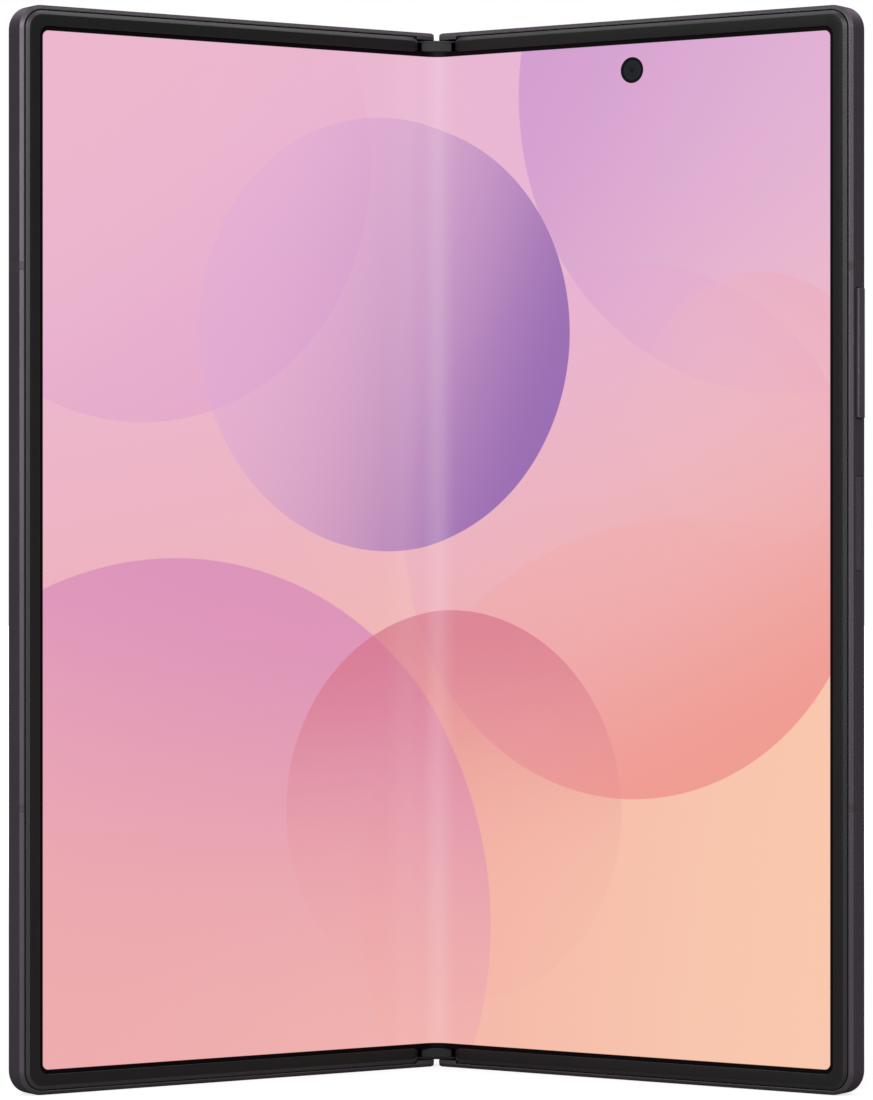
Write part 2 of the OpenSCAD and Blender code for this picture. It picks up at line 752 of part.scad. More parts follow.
module rail_profile(inner) {
    polygon([[rim_chamfer, 0], [0, rim_chamfer * 0.9], [0, half_t - back_chamfer],
        [back_chamfer, half_t], [inner, half_t], [inner, plate_y0], [rim_w, plate_y0], [rim_w, 0]]);
}

module rail_end() {
    x1 = wall_x1 + rail_w;
    difference() {
        intersection() {
            translate([0, 0, phone_h]) rotate([0, 90, 0]) linear_extrude(x1) polygon([[rim_chamfer, 0],
                [0, rim_chamfer * 0.9], [0, half_t - back_chamfer], [back_chamfer, half_t],
                [rail_end_w, half_t], [rail_end_w, 0]]);
            translate([0, 0, phone_h - rail_end_w]) linear_extrude(rail_end_w) hinge_edge_outline(x1);
        }
        // rounded corner at the fold
        difference() {
            block([0, front_edge_x + fold_corner_r], [-eps, far], [phone_h - fold_corner_r, phone_h + eps]);
            rod_y(front_edge_x + fold_corner_r, phone_h - fold_corner_r, fold_corner_r, [-1, far]);
        }
        // the bezel's seat begins where the bezel does
        block([bezel_end_x, far], [-eps, plate_y0], [0, phone_h - rim_w]);
    }
}

module back_glass_shape(clear) {
    x0 = glass_x0 - clear;
    inset = glass_inset - clear;
    edge_sheet(x0, inset, [bay_y1 - clear, half_t + (clear > 0 ? 1 : 0)]);
}

// What the two modules' arms and rotators need, where they pass the frame's inner wall.
module hinge_passages(side) {
    each_module() {
        z = rotator_z[side];
        block([0, wall_x1 + eps], [0, tongue_y1 + plate_clear], [z - end_clear, z + rotator_l + end_clear]);
        block([0, wall_x1 + eps], [bay_y0, arm_y1 + 0.25], [gear_z - end_clear, gear_z + gear_l + end_clear]);
    }
    for (s = [-1, 1]) block([0, wall_x1 + eps], [bay_y0, bay_y0 + 0.6],
        [mid_z + s * flex_mid - flex_h / 2 - 0.5, mid_z + s * flex_mid + flex_h / 2 + 0.5]);
}

module foot_screws(side, r, y) {
    each_module() for (x = [wall_x1 + 1.3, foot_x1 - 1.1])
        rod_y(x, rotator_z[side] + rotator_l / 2, r, y);
}

module antenna_slots() {
    for (z = [phone_h - band_top, band_bottom])
        block([half_w - band_d, half_w + 1], [-1, far], [z - band_w / 2, z + band_w / 2]);
}

module frame_blank(side) {
    difference() {
        union() {
            edge_sweep(wall_x0 + 0.3) rail_profile(rail_w);
            both_ends() rail_end();
            block([wall_x0, half_w - rail_w + 0.5], [plate_y0, bay_y0], [rail_w - 0.5, phone_h - rail_w + 0.5]);
            // wall and back edge round the spine's hollow
            translate([0, 0, rail_end_w - 0.05]) linear_extrude(phone_h - 2 * rail_end_w + 0.1) difference() {
                polygon([[back_edge_x, axis_y + 1], [back_edge_x, half_t - back_chamfer],
                    [back_edge_x + back_chamfer, half_t], [wall_x1, half_t], [wall_x1, plate_y0],
                    [axis_x + 1, plate_y0]]);
                translate([axis_x, axis_y]) circle(r = cavity_r, $fn = round_fn);
            }
        }
        back_glass_shape(glass_gap);
        hinge_passages(side);
        antenna_slots();
        foot_screws(side, screw_r, [bay_y0 - 0.3, bay_y0 + 1]);
    }
}

module bezel() {
    color(BEZEL) edge_sweep(bezel_end_x) polygon([[bezel_d0, plate_y0],
        [bezel_d0, bezel_chamfer - bezel_rise], [bezel_d0 + bezel_chamfer, -bezel_rise],
        [bezel_d1 - bezel_chamfer, -bezel_rise], [bezel_d1, bezel_chamfer - bezel_rise], [bezel_d1, 0],
        [bezel_d0 + bezel_foot_w, 0], [bezel_d0 + bezel_foot_w, plate_y0]]);
}

module display_sheet(x0, y) { edge_sheet(x0, display_inset, y); }

module wing_plate() {
    y0 = axis_y + plate_clear;
    block([wing_x, wall_x0 - 0.02], [y0, y0 + wing_t], [flex_z0, phone_h - flex_z0]);
}

// An arc rail about the hinge axis, a tongue over the spine's edge, and a foot screwed to the half.
module rotators(side) {
    color(STEEL) difference() {
        each_module() translate([0, 0, rotator_z[side]]) {
            linear_extrude(rotator_l) union() {
                intersection() {
                    translate([axis_x, axis_y]) difference() {
                        circle(r = arc_r_out, $fn = round_fn);
                        circle(r = arc_r_in, $fn = round_fn);
                    }
                    translate([axis_x, axis_y]) polygon([[0, 0], [far, 0], [far, far], [-far, far],
                        far * [cos(arc_reach), sin(arc_reach)]]);
                    below_lip(tongue_y0);
                }
                difference() {
                    translate([axis_x + 1, tongue_y0])
                        square([wall_x1 - axis_x - 1, tongue_y1 - tongue_y0]);
                    translate([axis_x, axis_y]) circle(r = arc_r_in, $fn = round_fn);
                }
                translate([wall_x0, bay_y0]) square([foot_x1 - wall_x0, tongue_y1 - bay_y0]);
            }
        }
        foot_screws(side, screw_r, [0, far]);
    }
}

module rotator_screws(side) {
    foot_screws(side, screw_r, [bay_y0 - 0.3, tongue_y1]);
    foot_screws(side, screw_head_r, [tongue_y1, tongue_y1 + screw_head_h]);
}

module antenna_bands() {
    color([0.16, 0.15, 0.17]) difference() {
        intersection() {
            antenna_slots();
            edge_sweep(half_w / 2) rail_profile(rail_w);
        }
        back_glass_shape(glass_gap);
    }
}

// Magnets that hold the halves shut stand along the outer rail.
module magnets() {
    color(STEEL) for (z = [lower_bay_h - magnet_l - 2, phone_h - lower_bay_h])
        block([bay_x1 - magnet_w, bay_x1], [bay_y0, bay_y0 + 1.6], [z, z + magnet_l]);
}

// ---- left half ----

module left_frame() {
    color(METAL) in_left() difference() {
        frame_blank(1);
        // slot for the SIM tray, and its wider face
        block([tray_x - tray_frame_w / 2 - tray_clear, tray_x + tray_frame_w / 2 + tray_clear],
            [tray_y - tray_t / 2 - tray_clear, tray_y + tray_t / 2 + tray_clear],
            [phone_h - rail_w - 1, phone_h + 1]);
        block([tray_x - tray_w / 2 - tray_clear, tray_x + tray_w / 2 + tray_clear],
            [tray_y - tray_face_t / 2 - tray_clear, tray_y + tray_face_t / 2 + tray_clear],
            [phone_h - 1 - tray_clear, phone_h + 1]);
        rod_z(tray_x + tray_w / 2 + 2, tray_y, 0.45, [phone_h - rail_w - 1, phone_h + 1]);
    }
}

module left_bezel() { in_left() bezel(); }

module main_display_left() { color(PINK) in_left() display_sheet(flex_x, [0, display_t]); }

module left_display_plate() {
    color(STEEL) in_left() display_sheet(wall_x0 + 0.03, [display_t, plate_y0]);
}

module left_wing_plate() { color(STEEL) in_left() wing_plate(); }

module left_rotators() { in_left() rotators(1); }

module left_screws() { color(STEEL) in_left() rotator_screws(1); }

module left_magnets() { in_left() magnets(); }

module left_antenna_bands() { in_left() antenna_bands(); }

module left_battery() {
    color(CELL) in_left() block([part_x0, part_x1], [bay_y0, bay_y0 + battery_t],
        [lower_bay_h, left_board_z0 - bay_gap]);
}

// The board stands below the tray's bay and carries the tray's reader.
module left_board() {
    z0 = left_board_z0;
    z1 = left_board_z1;
    color(BOARD) in_left() union() {
        block([part_x0, bay_x1 - magnet_w - bay_gap], [bay_y0, bay_y0 + board_t], [z0, z1]);
        block([tray_x - tray_frame_w / 2, tray_x + tray_frame_w / 2],
            [bay_y0 + board_t - eps, bay_y0 + board_t + 1.1], [z0 + 0.5, z1 - 0.5]);
    }
}

module cover_display_panel() {
    color([0.05, 0.05, 0.06]) in_left() difference() {
        edge_sheet(glass_x0 + hinge_wall_t + 1.4, rail_w + 0.1, [cover_panel_y0, bay_y1]);
        rod_y(cover_camera_x, cover_punch_z, cover_punch_d / 2 + 0.3, [0, far]);
    }
}

module cover_glass() { color(GLASS) in_left() back_glass_shape(0); }

module cover_camera() {
    half = cover_camera_w / 2;
    color(BLACK) in_left() {
        block([cover_camera_x - half, cover_camera_x + half], [bay_y0, cover_panel_y0 - 0.1],
            [cover_punch_z - half, cover_punch_z + half]);
        rod_y(cover_camera_x, cover_punch_z, cover_punch_d / 2, [cover_panel_y0 - 0.1 - eps, bay_y1]);
    }
}

module earpiece() {
    x0 = cover_camera_x + earpiece_gap;
    color(STEEL) in_left() block([x0, x0 + earpiece_l], [bay_y0, cover_panel_y0 - 0.1],
        [bay_z1 - earpiece_w, bay_z1]);
}

// ---- right half ----

// Room for a key in the rail: a window for its cap and a wider pocket for its flange.
module key_pocket(z, l) {
    w = key_w / 2 + key_clear;
    h = l / 2 + key_clear;
    lip = key_flange_lip + key_clear;
    x1 = half_w - key_cap_t + key_lift;
    block([bay_x1 - 1, half_w + 1], [key_y - w, key_y + w], [z - h, z + h]);
    block([bay_x1 - 1, x1], [key_y - w - lip, key_y + w + lip], [z - h - lip, z + h + lip]);
}

module usb_outline(grow) {
    h = usb_h + 2 * grow;
    w = usb_w + 2 * grow;
    round_rect([usb_x - w / 2, usb_x + w / 2], [usb_y - h / 2, usb_y + h / 2], h / 2 - eps);
}

module grille_holes() {
    for (side = [-1, 1], i = [0:grille_count - 1])
        rod_z(usb_x + side * (grille_start + i * grille_pitch), usb_y, grille_r, [-1, rail_w + 1]);
}

module right_frame() {
    color(METAL) in_right() difference() {
        frame_blank(0);
        key_pocket(volume_z, volume_l);
        key_pocket(side_z, side_l);
        translate([0, 0, -1]) linear_extrude(usb_l + 2) usb_outline(usb_wall);
        grille_holes();
        rod_y(punch_x, punch_z, punch_d / 2 + 0.4, [0, far]);
    }
}

module right_bezel() { in_right() bezel(); }

module main_display_right() {
    color(PEACH) in_right() difference() {
        display_sheet(flex_x, [0, display_t]);
        rod_y(punch_x, punch_z, punch_d / 2, [-1, far]);
    }
}

module right_display_plate() {
    color(STEEL) in_right() difference() {
        display_sheet(wall_x0 + 0.03, [display_t, plate_y0]);
        rod_y(punch_x, punch_z, punch_d / 2 + 0.2, [-1, far]);
    }
}

module right_wing_plate() { color(STEEL) in_right() wing_plate(); }

module right_rotators() { in_right() rotators(0); }

module right_screws() { color(STEEL) in_right() rotator_screws(0); }

module right_magnets() { in_right() magnets(); }

module right_antenna_bands() { in_right() antenna_bands(); }

module right_battery() {
    color(CELL) in_right() block([part_x0, part_x1], [bay_y0, bay_y0 + battery_t],
        [lower_bay_h, right_battery_z1]);
}

// The main board leaves the corner with the rear cameras free.
module main_board() {
    x1 = island_x - camera_w / 2 - bay_gap;
    color(BOARD) in_right() difference() {
        block([part_x0, x1], [bay_y0, bay_y0 + board_t], [upper_z0, bay_z1 - 1]);
        block([punch_x - 4, punch_x + 4], [0, far], [punch_z - 4, far * 5]);
    }
}

module board_shields() {
    y0 = bay_y0 + board_t;
    x1 = island_x - camera_w / 2 - bay_gap;
    mid_x = (part_x0 + x1) / 2;
    color(STEEL) in_right() for (x = [[part_x0 + 1, mid_x - 0.5], [mid_x + 0.5, x1 - 1]]) difference() {
        block(x, [y0, y0 + can_h], [upper_z0 + 1.5, punch_z - 5.5]);
        block([x[0] + can_wall, x[1] - can_wall], [y0 - eps, y0 + can_h - can_wall],
            [upper_z0 + 1.5 + can_wall, punch_z - 5.5 - can_wall]);
    }
}

module camera_modules() {
    color(BLACK) in_right() for (z = lens_z) {
        block([island_x - camera_w / 2, island_x + camera_w / 2], [bay_y0, bay_y1 - 0.05],
            [z - camera_w / 2, z + camera_w / 2]);
        rod_y(island_x, z, barrel_r, [bay_y1 - 0.05 - eps, island_back + ring_rise - 0.45]);
    }
}

module island_plan(inset) {
    w = island_w / 2 - inset;
    round_rect([island_x - w, island_x + w], [island_z0 + inset, island_z1 - inset], w - eps);
}

module camera_island() {
    color(METAL) in_right() difference() {
        union() {
            slab_y([bay_y1, island_back - 0.3]) island_plan(0);
            slab_y([island_back - 0.3 - eps, island_back]) island_plan(0.3);
        }
        for (z = lens_z) rod_y(island_x, z, ring_r - ring_w, [0, far]);
        rod_y(island_x - island_w / 2 + flash_r + 0.8, (lens_z[0] + lens_z[1]) / 2, flash_r * 0.5,
            [0, far]);
    }
}

module camera_rings() {
    color(STEEL) in_right() for (z = lens_z) difference() {
        union() {
            rod_y(island_x, z, ring_r, [island_back, island_back + ring_rise - 0.15]);
            rod_y(island_x, z, ring_r - 0.15, [island_back, island_back + ring_rise]);
        }
        rod_y(island_x, z, ring_r - ring_w, [0, far]);
    }
}

module camera_glass() {
    y1 = island_back + ring_rise - 0.1;
    color([0.03, 0.03, 0.04]) in_right() for (z = lens_z)
        rod_y(island_x, z, ring_r - ring_w, [y1 - 0.35, y1]);
}

module camera_flash() {
    color([0.95, 0.93, 0.85]) in_right()
        rod_y(island_x - island_w / 2 + flash_r + 0.8, (lens_z[0] + lens_z[1]) / 2, flash_r * 0.5,
            [bay_y1, island_back + 0.05]);
}

module rear_glass() {
    color(GLASS) in_right() difference() {
        back_glass_shape(0);
        slab_y([0, far]) island_plan(-glass_gap);
    }
}

module wireless_coil() {
    x = (part_x0 + part_x1) / 2;
    color([0.72, 0.42, 0.2]) in_right() {
        rod_y(x, coil_z, ferrite_r, [bay_y1 - ferrite_t - coil_t, bay_y1 - coil_t]);
        difference() {
            rod_y(x, coil_z, coil_out_r, [bay_y1 - coil_t - eps, bay_y1]);
            rod_y(x, coil_z, coil_in_r, [0, far]);
        }
    }
}

module usb_port() {
    color(STEEL) in_right() translate([0, 0, 0.3]) union() {
        linear_extrude(usb_l) difference() {
            usb_outline(usb_wall);
            usb_outline(0);
        }
        translate([0, 0, usb_l - 0.4]) linear_extrude(0.4) usb_outline(usb_wall - 0.05);
    }
}

module usb_tongue() {
    color(BLACK) in_right() block([usb_x - tongue_w / 2, usb_x + tongue_w / 2],
        [usb_y - tongue_t / 2, usb_y + tongue_t / 2],
        [1, usb_l - 0.1]);
}

module usb_board() {
    color(BOARD) in_right() block([usb_x - usb_board_in, motor_x0 - bay_gap], [bay_y0, bay_y0 + board_t],
        [usb_l + 0.3 + bay_gap, lower_bay_h - bay_gap]);
}

module loudspeaker() {
    color([0.2, 0.2, 0.21]) in_right()
        block([part_x0, usb_x - usb_w / 2 - usb_wall - 0.5], [bay_y0 + board_t + 0.05, bay_y1 - 0.5],
            [rail_w + 0.3, lower_bay_h - bay_gap - 1]);
}

module vibration_motor() {
    color(STEEL) in_right() block([motor_x0, motor_x1],
        [bay_y0, bay_y1 - 0.3], [lower_bay_h - bay_gap - motor_w, lower_bay_h - bay_gap]);
}

module inner_camera() {
    color(BLACK) in_right() {
        rod_y(punch_x, punch_z, punch_d / 2 - 0.05, [0.05, bay_y0 + eps]);
        block([punch_x - 3.2, punch_x + 3.2], [bay_y0, bay_y0 + 2.3], [punch_z - 3.2, punch_z + 3.2]);
    }
}

// Dome switches on one strip that stands behind both keys.
module key_switches() {
    color([0.55, 0.33, 0.12]) in_right() {
        block([bay_x1 - strip_t, bay_x1 - 0.05], [bay_y0, bay_y1 - 0.4],
            [side_z - side_l / 2 - 2, volume_z + volume_l / 2 + 2]);
        for (z = [side_z, volume_z - volume_l / 3, volume_z + volume_l / 3])
            rod_x(key_y, z, 0.8, [bay_x1 - 0.05 - eps, switch_x]);
    }
}

// ---- pieces that are pressed or pulled ----

module key_blank(z, l, x1) {
    x0 = half_w - key_cap_t;
    block([x0 - eps, x1], [key_y - key_w / 2, key_y + key_w / 2], [z - l / 2, z + l / 2]);
    block([x0 - key_flange_t, x0],
        [key_y - key_w / 2 - key_flange_lip, key_y + key_w / 2 + key_flange_lip],
        [z - l / 2 - key_flange_lip, z + l / 2 + key_flange_lip]);
}

module volume_key() {
    color(METAL) in_right() intersection() {
        key_blank(volume_z, volume_l, half_w + volume_rise);
        slab_y([-1, far]) round_rect([0, half_w + volume_rise],
            [volume_z - volume_l / 2 - 0.4, volume_z + volume_l / 2 + 0.4], 0.35);
    }
}

module side_key() {
    color(METAL) in_right() key_blank(side_z, side_l, half_w - side_sink);
}

module sim_tray() {
    z1 = phone_h;
    z0 = z1 - 1;
    color(METAL) in_left() difference() {
        union() {
            block([tray_x - tray_w / 2, tray_x + tray_w / 2], [tray_y - tray_face_t / 2,
                tray_y + tray_face_t / 2], [z0, z1]);
            block([tray_x - tray_frame_w / 2, tray_x + tray_frame_w / 2],
                [tray_y - tray_t / 2, tray_y + tray_t / 2], [z1 - tray_l, z0 + eps]);
        }
        block([tray_x - card_w / 2 - 0.1, tray_x + card_w / 2 + 0.1], [0, tray_y + 0.25],
            [z1 - tray_l + 1, z1 - tray_l + 1.2 + card_l]);
    }
}

module sim_card() {
    color([0.9, 0.88, 0.8]) in_left() block([tray_x - card_w / 2, tray_x + card_w / 2],
        [tray_y + 0.25 - card_t, tray_y + 0.25], [phone_h - tray_l + 1.1, phone_h - tray_l + 1.1 + card_l]);
}

hinge_spine_cover();
hinge_end_caps();
hinge_brackets();
display_center_support();
main_display_fold();
gear_shafts();
detent_springs();
detent_cams();
hinge_rivets();
flex_cable_upper();
flex_cable_lower();
left_sync_arms();
right_sync_arms();
left_idler_gears();
right_idler_gears();
left_frame();
left_bezel();
main_display_left();
left_display_plate();
left_wing_plate();
left_rotators();
left_battery();
left_board();
cover_display_panel();
cover_glass();
cover_camera();
earpiece();
left_antenna_bands();
left_magnets();
left_screws();
right_frame();
right_bezel();
main_display_right();
right_display_plate();
right_wing_plate();
right_rotators();
right_battery();
main_board();
board_shields();
camera_modules();
camera_island();
camera_rings();
camera_glass();
camera_flash();
rear_glass();
wireless_coil();
usb_port();
usb_tongue();
usb_board();
loudspeaker();
vibration_motor();
inner_camera();
key_switches();
right_antenna_bands();
right_magnets();
right_screws();
volume_key();
side_key();
sim_tray();
sim_card();
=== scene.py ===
"""A book-style folding phone, part-folded and standing on its lower edges."""

import json
import math

import bmesh
import bpy
from mathutils import Matrix, Vector


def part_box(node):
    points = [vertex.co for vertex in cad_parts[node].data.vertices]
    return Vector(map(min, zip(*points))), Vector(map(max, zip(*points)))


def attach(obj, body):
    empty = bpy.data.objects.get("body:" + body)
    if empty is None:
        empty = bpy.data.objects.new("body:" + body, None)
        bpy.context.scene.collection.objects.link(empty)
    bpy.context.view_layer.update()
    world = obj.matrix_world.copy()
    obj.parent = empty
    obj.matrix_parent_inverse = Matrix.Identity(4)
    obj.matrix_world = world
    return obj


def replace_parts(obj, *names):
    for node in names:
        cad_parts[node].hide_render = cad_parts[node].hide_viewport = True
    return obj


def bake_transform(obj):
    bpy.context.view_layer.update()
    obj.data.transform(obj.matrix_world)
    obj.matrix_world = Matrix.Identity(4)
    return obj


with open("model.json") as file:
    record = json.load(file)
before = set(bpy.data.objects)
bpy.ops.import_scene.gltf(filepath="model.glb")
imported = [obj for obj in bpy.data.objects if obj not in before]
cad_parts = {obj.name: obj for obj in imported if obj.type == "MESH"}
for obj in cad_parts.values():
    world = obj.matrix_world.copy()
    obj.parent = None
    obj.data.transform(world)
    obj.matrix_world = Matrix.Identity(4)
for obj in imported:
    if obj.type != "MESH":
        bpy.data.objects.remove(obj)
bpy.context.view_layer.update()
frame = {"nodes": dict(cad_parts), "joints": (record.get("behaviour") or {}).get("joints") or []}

MM = 0.001

# The phone's sizes in millimetres: x out from the fold, y back from the screen's face, z up from the foot
HALF_W = 71.6
PHONE_H = 158.4
HALF_T = 4.2
CORNER_R = 3.5
AXIS_Y = 0.6
FOLD = math.radians(32.5)


# ---- where the halves stand ----

def joint_named(name):
    """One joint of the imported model."""
    return next(j for j in frame["joints"] if j["name"] == name)


RIGHT_AXIS = [c / MM for c in joint_named("right_fold")["pos_m"]]
AXIS_X = RIGHT_AXIS[0]
SHIFT_Y = RIGHT_AXIS[1] - AXIS_Y

# From a flat right half to its place against the spine, and from there into the scene
HALF_TURN = (Matrix.Translation((AXIS_X, AXIS_Y, 0)) @ Matrix.Rotation(-FOLD, 4, "Z")
             @ Matrix.Translation((-AXIS_X, -AXIS_Y, 0)))
SPINE = Matrix.Scale(MM, 4) @ Matrix.Translation((0, SHIFT_Y, 0))
RIGHT = SPINE @ HALF_TURN
LEFT = Matrix.Diagonal((-1, 1, 1, 1)) @ RIGHT


# ---- shader arithmetic ----

class Signal:
    """A shader socket that takes part in Python arithmetic; each operator adds one Math node."""

    def __init__(self, nodes, socket):
        self.nodes = nodes
        self.socket = socket

    def math(self, operation, *values):
        return self.nodes.add("ShaderNodeMath", {"operation": operation}, *values)

    def __add__(self, other):
        return self.math("ADD", self, other)

    def __sub__(self, other):
        return self.math("SUBTRACT", self, other)

    def __rsub__(self, other):
        return self.math("SUBTRACT", other, self)

    def __mul__(self, other):
        return self.math("MULTIPLY", self, other)

    def __truediv__(self, other):
        return self.math("DIVIDE", self, other)

    __radd__ = __add__
    __rmul__ = __mul__

    def abs(self):
        return self.math("ABSOLUTE", self)

    def at_least(self, other):
        return self.math("MAXIMUM", self, other)

    def at_most(self, other):
        return self.math("MINIMUM", self, other)

    def clamp(self):
        return self.at_least(0.0).at_most(1.0)

    def sine(self):
        return self.math("SINE", self)

    def root(self):
        return self.math("SQRT", self)

    def smooth(self):
        """An eased step over the signal's 0 to 1."""
        t = self.clamp()
        return t * t * (3.0 - 2.0 * t)


class Nodes:
    """The nodes of a material or of the world, which start empty."""

    def __init__(self, owner):
        owner.use_nodes = True
        self.tree = owner.node_tree
        self.tree.nodes.clear()

    def plug(self, socket, value):
        if isinstance(value, Signal):
            self.tree.links.new(value.socket, socket)
        elif isinstance(value, (tuple, list)) and len(value) == 3 and socket.type == "RGBA":
            socket.default_value = (*value, 1.0)
        else:
            socket.default_value = value

    def add(self, kind, settings=None, *values, out=0, **named):
        """Adds a node: its settings first, then the values or links of its sockets."""
        node = self.tree.nodes.new(kind)
        for key, value in (settings or {}).items():
            if key == "stops":
                self.fill_ramp(node.color_ramp, value)
            else:
                setattr(node, key, value)
        for socket, value in zip(node.inputs, values):
            self.plug(socket, value)
        for key, value in named.items():
            self.plug(node.inputs[key.replace("_", " ")], value)
        return Signal(self, node.outputs[out]) if node.outputs else None

    @staticmethod
    def fill_ramp(ramp, stops):
        while len(ramp.elements) < len(stops):
            ramp.elements.new(0.5)
        for element, (place, colour) in zip(ramp.elements, stops):
            element.position = place
            element.color = (*colour, 1.0)

    def vector(self, operation, *values, out=0, **named):
        return self.add("ShaderNodeVectorMath", {"operation": operation}, *values, out=out, **named)

    def split(self, vector):
        node = self.tree.nodes.new("ShaderNodeSeparateXYZ")
        self.plug(node.inputs[0], vector)
        return [Signal(self, socket) for socket in node.outputs]

    def rays(self, camera, glossy, transmission):
        """A strength for each kind of ray that meets the surface."""
        node = self.tree.nodes.new("ShaderNodeLightPath")
        kinds = (("Is Camera Ray", camera), ("Is Glossy Ray", glossy), ("Is Transmission Ray", transmission))
        shares = [Signal(self, node.outputs[kind]) * strength for kind, strength in kinds]
        return shares[0] + shares[1] + shares[2]


class Finish(Nodes):
    """One material, with its Principled shader."""

    def __init__(self, name, **sockets):
        self.material = bpy.data.materials.new(name)
        super().__init__(self.material)
        self.shader = self.tree.nodes.new("ShaderNodeBsdfPrincipled")
        output = self.tree.nodes.new("ShaderNodeOutputMaterial")
        self.tree.links.new(self.shader.outputs[0], output.inputs[0])
        self.set(**sockets)

    def set(self, **sockets):
        for key, value in sockets.items():
            self.plug(self.shader.inputs[key.replace("_", " ")], value)
        return self

    def place(self):
        """The point being shaded, in millimetres."""
        coordinates = self.add("ShaderNodeTexCoord", out=3)
        return self.vector("MULTIPLY", coordinates, (1 / MM, 1 / MM, 1 / MM))

    def mark(self, name):
        """A number that the mesh itself carries at each point."""
        return self.add("ShaderNodeAttribute", {"attribute_name": name}, out=2)

    def noise(self, place, scale, detail=2.0, roughness=0.5):
        return self.add("ShaderNodeTexNoise", Vector=place, Scale=scale, Detail=detail,
                        Roughness=roughness)

    def mix(self, a, b, share):
        """Colour a where share is 0, and b where it is 1."""
        node = self.tree.nodes.new("ShaderNodeMix")
        node.data_type = "RGBA"
        self.plug(node.inputs[0], share)
        self.plug(node.inputs[6], a)
        self.plug(node.inputs[7], b)
        return Signal(self, node.outputs[2])

    def bump(self, height, distance, strength=1.0, normal=None):
        """Raises the surface by height, in millimetres times distance."""
        named = {"Height": height, "Distance": distance * MM, "Strength": strength}
        if normal is not None:
            named["Normal"] = normal
        return self.set(Normal=self.add("ShaderNodeBump", **named))

    def soft_edges(self, radius):
        """Rounds the highlights along hard edges, radius in millimetres."""
        return self.add("ShaderNodeBevel", {"samples": 6}, radius * MM)


def srgb(red, green, blue):
    """A colour given as it looks on screen, 0 to 255, as linear light."""
    def linear(c):
        c = c / 255
        return c / 12.92 if c <= 0.04045 else ((c + 0.055) / 1.055) ** 2.4
    return (linear(red), linear(green), linear(blue))


# ---- meshes ----

def mesh_piece(name, points, faces, matrix=None):
    """A new object from points and faces, its normals facing out."""
    form = bmesh.new()
    verts = [form.verts.new(matrix @ Vector(p) if matrix else p) for p in points]
    for face in faces:
        form.faces.new([verts[i] for i in face])
    bmesh.ops.recalc_face_normals(form, faces=form.faces)
    mesh = bpy.data.meshes.new(name)
    form.to_mesh(mesh)
    form.free()
    piece = bpy.data.objects.new(name, mesh)
    bpy.context.scene.collection.objects.link(piece)
    return piece


def shade_smooth(piece, degrees=35):
    """Smooth shading, kept sharp where faces meet at more than the given angle."""
    piece.data.shade_smooth()
    piece.data.set_sharp_from_angle(angle=math.radians(degrees))
    return piece


def dress(piece, finish):
    """Gives a piece or a node one material."""
    piece.data.materials.clear()
    piece.data.materials.append(finish.material)
    return piece


def spread(low, high, count):
    """Evenly spaced values from low to high, both included."""
    return [low + (high - low) * i / count for i in range(count + 1)]


def merged(*lists, near=0.02):
    """One rising list of the values in several, without near repeats."""
    values = []
    for value in sorted(v for part in lists for v in part):
        if not values or value - values[-1] > near:
            values.append(value)
    return values


def nearest(values, value):
    """The place in a list of the number nearest to value."""
    return min(range(len(values)), key=lambda i: abs(values[i] - value))


# ---- the folding screen ----

DISPLAY_INSET = 1.4
DISPLAY_T = 0.6
BEND_R = 3.2
FLEX_Z0 = 2.9
PUNCH_R = 1.9
PUNCH_X = 34.8
PUNCH_Z = PHONE_H - 7.6
TANGENT_X = AXIS_X + ((BEND_R + AXIS_Y) * math.sin(FOLD) - AXIS_X) / math.cos(FOLD)
BEND_Y = (AXIS_Y - (TANGENT_X - AXIS_X) * math.sin(FOLD) - AXIS_Y * math.cos(FOLD)
          - BEND_R * math.cos(FOLD))
STRIP_X = 3.6
STRIP_T = 0.3
SCREEN_EDGE_R = CORNER_R - DISPLAY_INSET
SCREEN_FREE_X = 66.0
PUNCH_PATCH = 3.0
PUNCH_SIDES = 8
PUNCH_LIP = 0.35


def screen_point(x, z, depth):
    """A point of the right half's screen when part-folded: x out from the fold, depth below its face."""
    if x >= TANGENT_X:
        return RIGHT @ Vector((x, depth, z))
    angle = FOLD * x / TANGENT_X
    radius = BEND_R + depth
    return SPINE @ Vector((radius * math.sin(angle), BEND_Y + radius * math.cos(angle), z))


def screen_reach(z):
    """How far out the screen goes at height z, with its rounded corners."""
    from_end = min(z - DISPLAY_INSET, PHONE_H - DISPLAY_INSET - z)
    edge = HALF_W - DISPLAY_INSET
    if from_end >= SCREEN_EDGE_R:
        return edge
    drop = SCREEN_EDGE_R - max(from_end, 0)
    return edge - SCREEN_EDGE_R + math.sqrt(SCREEN_EDGE_R ** 2 - drop ** 2)


